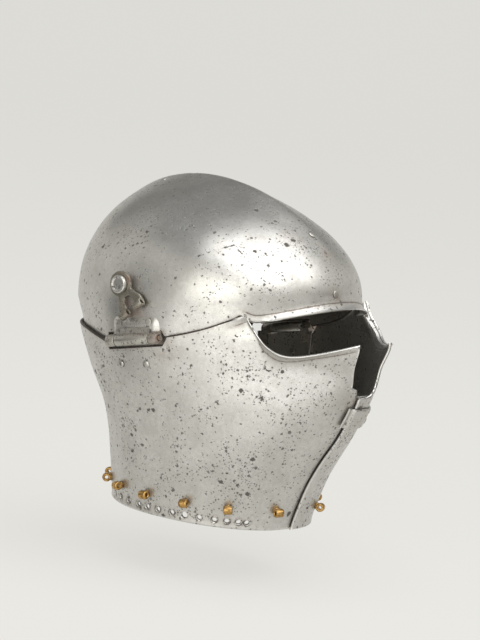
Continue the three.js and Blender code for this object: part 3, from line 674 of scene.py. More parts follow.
def build_skull():
    marks = [[a * DEG, tail_rim_z(a * DEG) if z is None else z, top * DEG, k]
             for k, (a, z, top) in enumerate(SKULL_EDGE)]

    def lengths(c):
        low, high = skull_face(c[:, 0], c[:, 1], 0), skull_face(c[:, 2], EQUATOR_Z, 0)
        d = np.linalg.norm(np.diff(low, axis=0), axis=1)
        weight = np.where(c[1:, 3] > 23, 0.3, 1.0)
        return np.maximum(d * weight, np.linalg.norm(np.diff(high, axis=0), axis=1))

    half = fine_columns(np.array(marks), SKULL_CORNERS, lengths, 2.2)
    other = half[1:-1][::-1] * np.array([-1, 1, -1, 1])
    phi, z0, top, index = np.concatenate([half, other]).T
    low = skull_face(phi, z0, 0)
    length = np.linalg.norm(skull_face(top, EQUATOR_Z, 0) - low, axis=-1)
    near = np.array([1.3, 2.6, 4.0, 5.8])
    n_wall, n_dome = 12, 62
    start = (near[-1] + 1.2) / length
    rows = np.concatenate([np.zeros((len(length), 1)), near[None] / length[:, None],
                           start[:, None] + (1 - start)[:, None] * np.linspace(0, 1, n_wall)[None]], 1)
    a = phi[:, None] + (top - phi)[:, None] * rows
    z = z0[:, None] + (EQUATOR_Z - z0)[:, None] * rows
    td = np.linspace(0, 1, n_dome + 1)[1:-1]
    A = np.concatenate([a, np.repeat(top[:, None], len(td), 1)], 1)
    Z = np.concatenate([z, np.full((len(top), len(td)), EQUATOR_Z)], 1)
    T = np.concatenate([np.zeros_like(a), np.repeat(td[None], len(top), 0)], 1)
    face, normal = skull_face(A, Z, T), skull_normal(A, Z, T)
    dist = np.concatenate([rows * length[:, None], length[:, None] + 2 * td[None] * 100], 1)
    brow = (1 - smooth(BROW_END - 1.2, BROW_END + .4, index))[:, None]
    bead = 0.9 * brow * np.exp(-((dist - 2.0) / 1.5) ** 2)
    share = (1 - smooth(33, 41, np.abs(A) / DEG)) * (T == 0)
    wave = hammered(face) * smooth(0, 14, dist) * (1 - smooth(.9, .99, T))
    wave = wave + BROW_LIP * share * np.exp(-dist / LIP_FALL)
    outer = face + normal * (wave + bead)[..., None]
    inner = face + normal * (wave - PLATE)[..., None]
    # painted highlight: the bead of the brow's rolled rim is made lighter
    edge = np.maximum(np.exp(-dist / 1.6), .8 * brow * np.exp(-((dist - 1.8) / 2.0) ** 2))
    # painted shade: a dark band in the crease under the brow's lip and a dark line along the skull's lower
    # edge beyond the brow
    crevice = .8 * brow * np.exp(-((dist - 5.6) / 1.4) ** 2) + (1 - brow) * np.exp(-dist / 1.4)
    verts, faces, mats, marks = grid_plate(outer, inner, closed=True, edge=edge, crevice=crevice)
    skull = mesh_object("skull_plate", verts, faces, mats, marks)
    crest = np.array([-10.5, 42.5, 267.0])
    keel_rivets = (dome_spot(-2, .373), dome_spot(-4, .03))
    holes = [(*spot, RIVET_HOLE) for spot in keel_rivets] + [(crest, np.array([-.25, .2, .95]), 1.1)]
    for side in (-1, 1):
        holes += [(*skull_spot(side, y, z), RIVET_HOLE) for y, z in UPPER_RIVETS]
        holes += [(np.array([side * 94.2, PIVOT["y"], PIVOT["z"]]), np.array([side, 0.0, 0.0]), PIVOT_HOLE)]
    boolean(skull, drill_cutter(holes), "DIFFERENCE")
    dress(skull, "skull", [MAT["skull"], MAT["inside"]], ["skull"])
    for i, spot in enumerate(keel_rivets):
        rivet(f"keel_rivet_{i + 1}", "skull", *spot, PLATE + 0.9, 3.0, 0.8, MAT["rivet_keel"])


def dome_spot(phi_deg, t):
    phi = phi_deg * DEG
    return skull_face(phi, EQUATOR_Z, t), skull_normal(phi, EQUATOR_Z, t)


def rivet(node, body, at, axis, grip, head, dome, material):
    lift = 0.3
    tail, shank = -grip - lift, 1.6
    profile = [(0, tail - 1), (head * .8, tail - 1), (head * .8, tail), (shank, tail), (shank, lift),
               (head, lift), (head, lift + dome * .25), (head * 0.86, lift + dome * .62),
               (head * .6, lift + dome * .9), (0, lift + dome)]
    obj = lathe("head_" + node, rounded(profile, 0.3), at, axis, 26)
    dress(obj, body, [material], [node], angle=50)


# ---------- hinges ----------
HINGE_AXIS = np.array([0, -math.cos(HINGE["slope"]), math.sin(HINGE["slope"])])


def hinge_point(side, d):
    return np.array([side * HINGE["x"], HINGE["y"], HINGE["z"]]) + HINGE_AXIS * d


def tab_object(side, x0, x1, z0, z1, d0, d1):
    """box beside the hinge axis, turned with it"""
    c, s = math.cos(HINGE["slope"]), math.sin(HINGE["slope"])
    verts = []
    for x in (x0, x1):
        for d in (d0, d1):
            for z in (z0, z1):
                verts.append([side * x, HINGE["y"] - d * c + z * s, HINGE["z"] + d * s + z * c])
    faces = [(0, 1, 3, 2), (4, 6, 7, 5), (0, 4, 5, 1), (2, 3, 7, 6), (0, 2, 6, 4), (1, 5, 7, 3)]
    if side > 0:
        faces = [f[::-1] for f in faces]
    return mesh_object("tab", np.array(verts), faces)


def leaf_object(name, side, y0, y1, low, high, spot):
    cols, rows = 40, 14
    y = np.repeat(np.linspace(y0, y1, cols)[:, None], rows, 1)
    lo, hi = low(y), high(y)
    z = lo + (hi - lo) * np.linspace(0, 1, rows)[None]
    outer, inner = spot(y, z, False), spot(y, z, True)
    v, f, _, marks = grid_plate(outer, inner, rim_steps=4, bulge=0.5)
    if side < 0:
        f = [q[::-1] for q in f]
    return mesh_object(name, v, f, None, marks)


def build_hinge(side):
    name = "left" if side > 0 else "right"
    half, gap = HINGE["length"] / 2, 0.45
    mid = half - HINGE["end"]
    axis_z = lambda y: HINGE["z"] - (y - HINGE["y"]) * math.tan(HINGE["slope"])

    def skull_side(y, z, inner):
        phi = skull_phi(side, y, z)
        u = 1 - np.abs(y - HINGE["y"]) / (half - 1)
        feather = smooth(0, .22, u) * smooth(0, 6, leaf_top(y) - z)   # hammered thin at its edges
        low, high = LEAF["lift"] - (1 - feather), LEAF["lift"] - .45 + (LEAF["thick"] + .45) * feather
        off = low if inner else high
        return skull_face(phi, z, 0) + skull_normal(phi, z, 0) * off[..., None]

    def cheek_side(y, z, inner):
        s = s_at_y(y, z)
        return cheek_point(side, s, z, -PLATE - 0.5 - (1.4 if inner else 0))

    def leaf_top(y):
        u = (y - HINGE["y"]) / half
        return LEAF["top"] - 4.5 * (np.clip(np.abs(u) - .72, 0, 1) / .28) ** 2

    upper = leaf_object(f"{name}_upper_hinge_leaf", side, HINGE["y"] - half + 1, HINGE["y"] + half - 1,
                        lambda y: axis_z(y) + 4.4, leaf_top, skull_side)
    boolean(upper, tab_object(side, 96.1, 97.9, 3, 8.4, -mid + gap, mid - gap), "UNION")
    barrel = tube_data(KNUCKLE["r"], KNUCKLE["bore"], 2 * (mid - gap), hinge_point(side, 0), HINGE_AXIS, 40)
    boolean(upper, mesh_object("barrel", *barrel), "UNION")
    leaf_face = LEAF["lift"] + LEAF["thick"]
    drills = [(*skull_spot(side, y, z, leaf_face), RIVET_HOLE) for y, z in UPPER_RIVETS]
    boolean(upper, drill_cutter(drills), "DIFFERENCE")
    dress(upper, "skull", [MAT["hinge"]], [f"{name}_hinge_upper_leaf"])

    lower = leaf_object(f"{name}_lower_hinge_leaf", side, HINGE["y"] - half - 2.5, HINGE["y"] + half + 1.5,
                        lambda y: axis_z(y) - 24.5, lambda y: axis_z(y) - 4.2, cheek_side)
    for end in (-1, 1):
        d0, d1 = sorted((end * mid, end * half))
        wall = min(abs(cheek_side(np.array(HINGE["y"] - d), np.array(HINGE["z"] - 12.5), False)[0])
                   for d in (d0, d1))
        boolean(lower, tab_object(side, wall - 1.5, wall, -12, -0.8, d0 + .02, d1 - .02), "UNION")
        boolean(lower, tab_object(side, wall - 1.5, 94, -4.4, -0.85, d0 + .04, d1 - .04), "UNION")
        knuckle = mesh_object("knuckle", *tube_data(KNUCKLE["r"], KNUCKLE["bore"], d1 - d0,
                                                    hinge_point(side, (d0 + d1) / 2), HINGE_AXIS, 40))
        boolean(lower, knuckle, "UNION")
    boolean(lower, drill_cutter([(*cheek_spot(side, *p), RIVET_HOLE) for p in LOWER_RIVETS]), "DIFFERENCE")
    dress(lower, f"{name}_cheek", [MAT["hinge_end"]], [f"{name}_hinge_lower_leaf"])

    h, r = HINGE["length"] / 2 + 0.6, KNUCKLE["pin"]
    pin = rounded([(0, -h), (1.5, -h), (r, -h + .4), (r, h - .4), (1.5, h), (0, h)], .3)
    obj = lathe(f"{name}_pin", pin, hinge_point(side, 0), HINGE_AXIS, 24)
    dress(obj, "skull", [MAT["hinge_end"]], [f"{name}_hinge_pin"])
    for i, (y, z) in enumerate(UPPER_RIVETS):
        rivet(f"{name}_upper_leaf_rivet_{i + 1}", "skull", *skull_spot(side, y, z, leaf_face),
              PLATE + LEAF["thick"] + LEAF["lift"] + 0.3, 2.7, 0.25, MAT["hinge"])
    for i, p in enumerate(LOWER_RIVETS):
        rivet(f"{name}_lower_leaf_rivet_{i + 1}", f"{name}_cheek", *cheek_spot(side, *p), PLATE + 2.1, 3.0,
              1.3, MAT["rivet"])


# ---------- visor pivots and arms ----------
EYE_SHOWN = 9.6
REACH = unit(np.array([0, -0.54, -0.84]))
LINE = unit(np.array([0, -0.84, 0.54]))


def build_pivot(side):
    name = "left" if side > 0 else "right"
    out = np.array([side, 0.0, 0.0])
    at = np.array([side * ARM["inner"], PIVOT["y"], PIVOT["z"]])
    inner_x, t = ARM["inner"] - 93.6, ARM["thick"]
    profile = [(0, -inner_x - 4.4), (5.5, -inner_x - 4.4), (5.5, -inner_x - 3), (3, -inner_x - 3),
               (3, t + 0.35), (6.9, t + 0.35), (6.9, t + 1.9), (6.5, t + 3.0), (5.7, t + 3.5),
               (4.9, t + 3.3), (4.3, t + 2.7), (0, t + 2.9)]
    stud = lathe(f"{name}_pivot_stud", rounded(profile, 0.4), at, out, 48)
    dress(stud, "skull", [MAT["stud"]], [f"{name}_visor_pivot"], angle=50)

    mid = at + out * t / 2
    place = lambda d, w, k: mid + REACH * d + LINE * w + out * k
    outline = arm_outline()
    n = len(outline)
    verts = [place(d, w, k) for k in (-t / 2, t / 2) for d, w in outline]
    faces = [tuple(range(n))[::-1], tuple(range(n, 2 * n))]
    faces += [(i, (i + 1) % n, n + (i + 1) % n, n + i) for i in range(n)]
    if np.dot(np.cross(REACH, LINE), out) < 0:
        faces = [f[::-1] for f in faces]
    arm = mesh_object(f"{name}_arm", np.array(verts), faces)
    hole = lathe("hole", [(0, -6), (3.4, -6), (3.4, 6), (0, 6)], mid, out, 32)
    boolean(arm, hole, "DIFFERENCE")
    bevel(arm, 0.45)
    for end in (-1, 1):
        c = place(ARM["reach"], end * 7.6, 2.1)
        boolean(arm, mesh_object("k", *tube_data(3.2, 1.5, 7.8, c, LINE, 32, 0.5)), "UNION")
    dress(arm, f"{name}_arm", [MAT["arm"]], [f"{name}_visor_arm"])


def arm_outline():
    """round eye, waisted bar and two tabs with a slot between them, in (reach, line) coordinates"""
    pts = []
    r, half = EYE_SHOWN, ARM["width"] / 2
    for a in np.linspace(42 * DEG, 318 * DEG, 40):
        pts.append((r * math.cos(a), r * math.sin(a)))
    end, slot, slot_from = ARM["reach"] - 0.5, 4.3, 10.5
    pts += [(11.5, -8.4), (14, -half + 1.2), (16, -half + .2), (18.5, -half), (end, -half), (end, -slot)]
    for a in np.linspace(-90, 90, 9) * DEG:
        pts.append((slot_from + slot - slot * math.cos(a), slot * math.sin(a)))
    pts += [(end, slot), (end, half), (18.5, half), (16, half - .2), (14, half - 1.2), (11.5, 8.4)]
    return pts


# ---------- chin clasp ----------
def build_clasp():
    x = np.concatenate([np.linspace(34, -4, 30), np.linspace(-4.6, -12, 14)])
    z = np.linspace(CLASP["z0"], CLASP["z1"], 12)
    X, Z = np.meshgrid(x, z, indexing="ij")
    clamped = np.where(X > -4, X, -4.0)
    S = s_at_x(np.where(np.abs(clamped) < 1e-6, 0.01, clamped), Z)
    drop = CLASP["drop"] * smooth(-6.6, -9.4, X)

    def sheet(extra):
        p = cheek_point(1, S, Z, CLASP["lift"] + extra - drop)
        p[..., 0] = np.where(X < -4, X, p[..., 0])
        return p

    v, f, _, marks = grid_plate(sheet(CLASP["thick"]), sheet(0), rim_steps=4, bulge=0.5)
    clasp = mesh_object("clasp_strap", v, [q[::-1] for q in f], None, marks)
    spots = [clasp_spot(q, CLASP["lift"] + CLASP["thick"]) for q in CLASP_RIVETS]
    boolean(clasp, drill_cutter([(*spot, RIVET_HOLE) for spot in spots]), "DIFFERENCE")
    dress(clasp, "left_cheek", [MAT["clasp"]], ["chin_clasp"])
    for i, spot in enumerate(spots):
        rivet(f"clasp_rivet_{i + 1}", "left_cheek", *spot, PLATE + CLASP["thick"] + CLASP["lift"], 2.6, 0.8,
              MAT["rivet"])


# ---------- materials ----------
class Nodes:
    """short names for building a shader in millimetre coordinates"""

    def __init__(self, name):
        self.material = bpy.data.materials.new(name)
        self.material.use_nodes = True
        self.tree = self.material.node_tree
        self.tree.nodes.clear()
        self.out = self.tree.nodes.new("ShaderNodeOutputMaterial")
        self.shader = self.tree.nodes.new("ShaderNodeBsdfPrincipled")
        self.link(self.shader.outputs[0], self.out.inputs[0])
        coord = self.tree.nodes.new("ShaderNodeTexCoord")
        scale = self.new("ShaderNodeVectorMath", operation="SCALE")
        scale.inputs["Scale"].default_value = 1000
        self.link(coord.outputs["Object"], scale.inputs[0])
        self.mm = scale.outputs[0]

    def new(self, kind, **props):
        node = self.tree.nodes.new(kind)
        for k, v in props.items():
            setattr(node, k, v)
        return node

    def link(self, a, b):
        self.tree.links.new(a, b)

    def put(self, socket, value):
        if hasattr(value, "is_output"):
            self.link(value, socket)
        else:
            socket.default_value = value

    def noise(self, wavelength, detail=4.0, rough=0.55, vector=None, offset=0.0):
        n = self.new("ShaderNodeTexNoise")
        v = vector or self.mm
        if offset:
            shift = self.new("ShaderNodeVectorMath", operation="ADD")
            self.link(v, shift.inputs[0])
            shift.inputs[1].default_value = (offset, -offset * .7, offset * 1.3)
            v = shift.outputs[0]
        self.link(v, n.inputs["Vector"])
        n.inputs["Scale"].default_value = 1 / wavelength
        n.inputs["Detail"].default_value = detail
        n.inputs["Roughness"].default_value = rough
        return n.outputs["Fac"]

    def color_noise(self, wavelength, detail):
        n = self.new("ShaderNodeTexNoise")
        self.link(self.mm, n.inputs["Vector"])
        n.inputs["Scale"].default_value, n.inputs["Detail"].default_value = 1 / wavelength, detail
        return n.outputs["Color"]

    def cells(self, wavelength, vector=None):
        n = self.new("ShaderNodeTexVoronoi")
        self.link(vector or self.mm, n.inputs["Vector"])
        n.inputs["Scale"].default_value = 1 / wavelength
        return n.outputs["Distance"], n.outputs["Color"]

    def step(self, value, a, b, lo=0.0, hi=1.0):
        n = self.new("ShaderNodeMapRange", interpolation_type="SMOOTHSTEP")
        self.put(n.inputs["Value"], value)
        n.inputs["From Min"].default_value, n.inputs["From Max"].default_value = a, b
        n.inputs["To Min"].default_value, n.inputs["To Max"].default_value = lo, hi
        return n.outputs["Result"]

    def math(self, op, a, b=0.0, c=0.0, clamp=False):
        n = self.new("ShaderNodeMath", operation=op, use_clamp=clamp)
        self.put(n.inputs[0], a)
        self.put(n.inputs[1], b)
        self.put(n.inputs[2], c)
        return n.outputs[0]

    def mul(self, a, b):
        return self.math("MULTIPLY", a, b)

    def mix(self, fac, a, b, blend="MIX"):
        n = self.new("ShaderNodeMix", data_type="RGBA", blend_type=blend)
        self.put(n.inputs["Factor"], fac)
        self.put(n.inputs[6], a if hasattr(a, "is_output") else (*a, 1))
        self.put(n.inputs[7], b if hasattr(b, "is_output") else (*b, 1))
        return n.outputs[2]

    def shifted(self, vector, color, amount):
        """vector moved about by a noise colour, up to half of amount each way"""
        n = self.new("ShaderNodeVectorMath", operation="MULTIPLY_ADD")
        self.link(color, n.inputs[0])
        n.inputs[1].default_value = (amount,) * 3
        self.link(vector, n.inputs[2])
        return n.outputs[0]

    def near(self, point_mm, radius, vector=None):
        """1 at a point of the head frame, falling to 0 at radius"""
        n = self.new("ShaderNodeVectorMath", operation="DISTANCE")
        self.link(vector or self.mm, n.inputs[0])
        n.inputs[1].default_value = tuple(to_row(np.array(point_mm, float)) * 1000)
        return self.step(n.outputs["Value"], radius, 0.0)

    def segment(self, a, b, vector):
        """distance in mm from the line between two points of the head frame"""
        a, b = to_row(np.array(a, float)) * 1000, to_row(np.array(b, float)) * 1000
        d = b - a
        rel = self.new("ShaderNodeVectorMath", operation="SUBTRACT")
        self.link(vector, rel.inputs[0])
        rel.inputs[1].default_value = tuple(a)
        dot = self.new("ShaderNodeVectorMath", operation="DOT_PRODUCT")
        self.link(rel.outputs[0], dot.inputs[0])
        dot.inputs[1].default_value = tuple(d / float(d @ d))
        t = self.math("MINIMUM", self.math("MAXIMUM", dot.outputs["Value"], 0.0), 1.0)
        along = self.new("ShaderNodeVectorMath", operation="SCALE")
        along.inputs[0].default_value = tuple(d)
        self.link(t, along.inputs["Scale"])
        gap = self.new("ShaderNodeVectorMath", operation="DISTANCE")
        self.link(rel.outputs[0], gap.inputs[0])
        self.link(along.outputs[0], gap.inputs[1])
        return gap.outputs["Value"]

    def bump(self, height, distance_mm, strength=1.0, normal=None):
        n = self.new("ShaderNodeBump")
        n.inputs["Strength"].default_value = strength
        n.inputs["Distance"].default_value = distance_mm / 1000
        self.link(height, n.inputs["Height"])
        if normal is not None:
            self.link(normal, n.inputs["Normal"])
        return n.outputs[0]

    def finish(self, color, rough, metallic, normal):
        values = {"Base Color": color, "Roughness": rough, "Metallic": metallic, "Normal": normal}
        for name, value in values.items():
            self.put(self.shader.inputs[name], value)
        return self.material


STEEL = (0.66, 0.65, 0.62)
STEEL_DARK = (0.40, 0.39, 0.36)
PIT = (0.105, 0.098, 0.088)
RUST_AND_SHADE = (0.20, 0.115, 0.078)


def pit_layer(n, spacing, radius, share, vector):
    """round-cornered pits about spacing apart; share (0 to 1, may vary) says how many cells hold one"""
    dist, tone = n.cells(spacing, vector=vector)
    split = n.new("ShaderNodeSeparateColor")
    n.link(tone, split.inputs[0])
    there = n.math("LESS_THAN", split.outputs[0], share)
    size = n.math("MULTIPLY_ADD", split.outputs[1], radius * .8, radius * .45)
    return n.mul(n.step(n.math("DIVIDE", dist, size), 1.15, .7), there)


def largest(n, *values):
    out = values[0]
    for v in values[1:]:
        out = n.math("MAXIMUM", out, v)
    return out


def steel(name, pits=0.5, stains_and_shade=(), pitted=(), tint=STEEL, dark=STEEL_DARK, rust=0.25, base_rough=0.36,
          cracks=(), grain=1.0):
    """aged bright steel: mottled tone, dark pits in clusters, scratches; brown marks at given places, some
    real rust, some painted shade; painted shade in creases and lapped edges; lighter rubbed edges with a
    painted highlight along rolled rims
    """
    n = Nodes(name)
    broad, small = n.color_noise(9, 4), n.color_noise(1.5, 3)
    wide = n.shifted(n.mm, broad, 5.0)
    ragged = n.shifted(n.mm, small, 2.6)
    jagged = n.shifted(ragged, broad, 3.0)

    zone = 0.0
    for point, radius, amount in pitted:
        zone = n.math("MAXIMUM", zone, n.mul(n.near(point, radius, wide), amount))
    cluster = n.step(n.noise(34, 3, .65), .42, .66)
    scattered = n.math("MULTIPLY_ADD", cluster, .70 * pits, .13 * pits)
    share = n.math("ADD", scattered, n.mul(zone, .6))
    specks = pit_layer(n, 1.7, .37, share, ragged)
    medium = pit_layer(n, 3.4, .33, n.mul(share, .7), jagged)
    coarse = pit_layer(n, 7.5, .24, n.mul(share, .5), jagged)
    pores = n.mul(n.step(n.noise(.85, 3, .75, offset=77), .60, .70),
                   n.math("MULTIPLY_ADD", share, 1.2, .22, clamp=True))
    pit = largest(n, n.mul(specks, .8), n.mul(medium, .9), coarse,
                  n.mul(pores, .65))

    # brown marks at the listed places: real rust for most lists, painted shade for the hollow over the hinge
    # barrel and the skull under the visor arms
    stain_and_shade = 0.0
    for point, radius, amount in stains_and_shade:
        stain_and_shade = n.math("MAXIMUM", stain_and_shade, n.mul(n.near(point, radius, wide), amount))
    crevice = n.new("ShaderNodeAttribute", attribute_name="crevice").outputs["Fac"]
    patchy = n.step(n.noise(7, 5, .65, offset=11), .38, .66)
    haze = n.step(n.noise(24, 4, .6, offset=53), .5, .8)
    grime = n.mul(crevice, n.step(n.noise(2.4, 4, .7, offset=19), .32, .62))
    rust_and_shade = n.math("ADD", n.mul(stain_and_shade, n.math("MULTIPLY_ADD", patchy, .75, .35)),
                   n.mul(n.mul(haze, patchy), rust), clamp=True)
    rust_and_shade = n.math("MAXIMUM", rust_and_shade, n.mul(grime, .8))

    tone = n.step(n.noise(30, 5, .6, offset=5), .3, .75)
    fine = n.noise(.8, 3, .7, offset=3)
    cloud = n.noise(3.5, 4, .7, offset=23)
    color = n.mix(n.mul(tone, .5), tint, dark)
    color = n.mix(n.step(cloud, .35, .7, 0.0, .4), color, dark)
    color = n.mix(n.step(fine, .3, .7, 0.0, .45), color, dark)
    # brown mix: real rust, with painted shade from the listed places
    color = n.mix(n.mul(rust_and_shade, .85), color, RUST_AND_SHADE)
    edge = n.new("ShaderNodeAttribute", attribute_name="edge")
    # lighter edges: rubbed wear everywhere, and a painted highlight along the rolled rims of the sight and
    # brow
    wear_and_rim_highlight = n.mul(n.step(edge.outputs["Fac"], .25, .8), n.step(crevice, .5, .1, 0.0, .6))
    color = n.mix(wear_and_rim_highlight, color, (0.70, 0.69, 0.66))
    # painted shade: creases, lapped edges and the rings round holes are mixed towards near black
    color = n.mix(n.step(crevice, .45, .9, 0.0, .9), color, (0.040, 0.032, 0.027))
    color = n.mix(pit, color, PIT)

    streak = n.new("ShaderNodeMapping")
    streak.inputs["Rotation"].default_value = (0.35, 0.2, 0.5)
    streak.inputs["Scale"].default_value = (1, 1, .045)
    n.link(n.mm, streak.inputs["Vector"])
    scratch = n.noise(.45, 3, .7, vector=streak.outputs[0])
    rough = n.math("ADD", n.math("MULTIPLY_ADD", scratch, .1, base_rough - .1), n.mul(fine, .1))
    rough = n.math("ADD", rough, n.mul(rust_and_shade, .22))
    rough = n.math("ADD", rough, n.mul(pit, .3), clamp=True)
    metallic = n.math("SUBTRACT", 1.0, n.math("ADD", n.mul(rust_and_shade, .35),
                                              n.mul(pit, .5)), clamp=True)
    height = n.math("SUBTRACT", n.mul(fine, .25 * grain), n.mul(pit, .8))
    height = n.math("SUBTRACT", height, n.mul(scratch, .10 * grain))
    height = n.math("SUBTRACT", height, n.mul(rust_and_shade, .25))
    normal = n.bump(height, .14, .85)
    normal = n.bump(n.noise(13, 2, .5, offset=91), .35, .35, normal)
    for a, b, c in cracks:
        gap = n.math("MINIMUM", n.segment(a, b, ragged), n.segment(b, c, ragged))
        line = n.mul(n.step(gap, .95, .4), n.step(n.noise(5, 3, .6, offset=41), .40, .52))
        color = n.mix(n.mul(line, .95), color, (0.03, 0.026, 0.022))
        metallic = n.math("SUBTRACT", metallic, n.mul(line, .8), clamp=True)
    return n.finish(color, rough, metallic, normal)


def inside_metal():
    n = Nodes("inside_rust")
    a = n.step(n.noise(14, 6, .65), .35, .7)
    b = n.step(n.noise(2.2, 4, .7, offset=9), .4, .7)
    color = n.mix(a, (0.022, 0.011, 0.008), (0.060, 0.030, 0.021))
    color = n.mix(n.mul(b, .6), color, (0.010, 0.007, 0.006))
    normal = n.bump(n.math("ADD", n.mul(a, .5), n.mul(b, .5)), .25, .7)
    return n.finish(color, n.step(b, 0, 1, .65, .85), .15, normal)


def brass_metal():
    n = Nodes("aged_brass")
    edge_low = n.step(n.noise(3.2, 5, .65), .42, .66)
    fine = n.noise(.7, 4, .7, offset=4)
    color = n.mix(n.step(fine, .3, .7), (0.46, 0.26, 0.075), (0.58, 0.37, 0.14))
    color = n.mix(n.mul(edge_low, .8), color, (0.16, 0.085, 0.03))
    dot = n.step(n.noise(1.1, 3, .6, offset=15), .62, .7)
    color = n.mix(dot, color, (0.05, 0.035, 0.02))
    normal = n.bump(n.math("SUBTRACT", n.mul(fine, .4), n.mul(dot, .7)), .1, .8)
    metallic = n.math("SUBTRACT", 1.0, n.mul(dot, .6))
    return n.finish(color, n.step(edge_low, 0, 1, .3, .55), metallic, normal)


SKULL_STAINS_AND_SHADOWS = [((side * 96, y, z), r, a) for side in (-1, 1)
                for y, z, r, a in ((24, 158, 16, .6), (14, 180, 15, .75), (2, 170, 12, .8),
                                   (14, 192, 17, .55), (30, 165, 12, .35))]
SKULL_PITS = [((side * 94, y, z), r, a) for side in (-1, 1)
              for y, z, r, a in ((20, 168, 26, .6), (0, 163, 20, .5), (14, 190, 24, .5))]
SKULL_PITS += [((-12, -88, 225), 34, .7), ((-2, -108, 196), 26, .7), ((12, -95, 222), 30, .35)]
# painted shadow: dark brown spots on the skull under the visor arm's knuckles and slot
SKULL_STAINS_AND_SHADOWS += [((side * 95, y, z), 9, 1.0) for side in (-1, 1) for y, z in ((6, 178), (3, 173), (9, 172))]
SKULL_STAINS_AND_SHADOWS += [((-5, -113, 186), 12, .8), ((0, -98, 216), 10, .5), ((-20, -85, 232), 22, .25)]
CHEEK_STAINS = [((side * 96, -20, 146), 20, .4) for side in (-1, 1)]
CHEEK_STAINS += [((side * 88, -70, 150), 16, .25) for side in (-1, 1)]
CHEEK_STAINS += [((25, -125, 95), 18, .5), ((-10, -132, 105), 16, .6), ((4, -128, 92), 14, .5)]
CHEEK_PITS = [((side * 75, -60, 60), 40, .35) for side in (-1, 1)]
CRACK = [((-79, -41, 214), (-61, -60, 222), (-61.6, -67, 216))]

# painted shade: a row of brown-dark spots in the dished hollow just above each hinge barrel
HINGE_HOLLOW_SHADE = [((side * 98, y, 158.5 - (y - 5) * .08), 5.5, .75)
                for side in (-1, 1) for y in (-14, -9, -4, 1, 6, 11)]
HINGE_FRONT_RUST = [((side * 98, -16, 153), 17, 1.0) for side in (-1, 1)]
ARM_RUST = [((side * 100, y, z), r, a) for side in (-1, 1)
            for y, z, r, a in ((8, 199, 9, .8), (14, 200, 8, .7), (2, 172, 12, .8), (12, 180, 8, .6))]

MAT = {
    "skull": steel("aged_steel_skull", .55, SKULL_STAINS_AND_SHADOWS, SKULL_PITS, cracks=CRACK),
    "cheek": steel("aged_steel_cheek", .9, CHEEK_STAINS, CHEEK_PITS, rust=.2, base_rough=.38),
    "hinge": steel("worn_hinge_steel", 1.2, HINGE_HOLLOW_SHADE, (), tint=(.60, .59, .55), dark=(.36, .34, .30),
                   rust=.35, base_rough=.4, grain=1.6),
    "hinge_end": steel("rusty_hinge_steel", 1.2, HINGE_FRONT_RUST, tint=(.56, .54, .50), dark=(.33, .30, .26),
                       rust=.5, base_rough=.42, grain=1.6),
    "arm": steel("brown_arm_steel", 1.3, ARM_RUST, tint=(.36, .34, .29), dark=(.20, .18, .14), rust=.6,
                 base_rough=.42, grain=1.8),
    "stud": steel("worn_stud_steel", 1.6, tint=(.58, .57, .54), rust=.3, base_rough=.36, grain=1.6),
    "rivet": steel("worn_rivet_steel", .7, tint=(.48, .47, .44), rust=.35, base_rough=.36),
    "rivet_keel": steel("stained_rivet_steel", .8, [((-4, -112, 184), 12, .55)], tint=(.44, .43, .40),
                        rust=.5, base_rough=.38),
    "clasp": steel("worn_clasp_steel", .9, [((10, -126, 94), 26, .35)], tint=(.40, .39, .37), rust=.4,
                   base_rough=.4),
    "inside": inside_metal(),
    "brass": brass_metal(),
}


# ---------- camera, floor and light ----------
def head_to_row_dir(v):
    return (to_row(np.asarray(v, float)) - to_row(np.zeros(3))) * 1000


VIEW = dict(azimuth=math.radians(-53.2), elevation=math.radians(3), distance=2200.0, lens=163.35,
            aim_right=15.76, aim_up=161.36)   # distances in mm


def head_axes():
    az, el = VIEW["azimuth"], VIEW["elevation"]
    back = np.array([math.sin(az) * math.cos(el), -math.cos(az) * math.cos(el), math.sin(el)])
    right = np.array([math.cos(az), math.sin(az), 0])
    return right, np.cross(back, right), back


def view_axes():
    return [head_to_row_dir(v) for v in head_axes()]


def build_camera():
    right, _, back = head_axes()
    target = right * VIEW["aim_right"] + np.array([0, 0, VIEW["aim_up"]])
    cam = bpy.data.cameras.new("camera")
    cam.sensor_width = 36
    cam.sensor_fit = "AUTO"
    cam.lens = VIEW["lens"]
    cam.clip_end = 50
    obj = bpy.data.objects.new("camera", cam)
    bpy.context.scene.collection.objects.link(obj)
    m = np.eye(4)
    m[:3, :3] = np.array(view_axes()).T
    m[:3, 3] = to_row(target + back * VIEW["distance"])
    obj.matrix_world = Matrix([list(r) for r in m])
    bpy.context.scene.camera = obj


FLOOR_DROP = 0.045   # the helmet is held up clear of the floor, as on a display stand


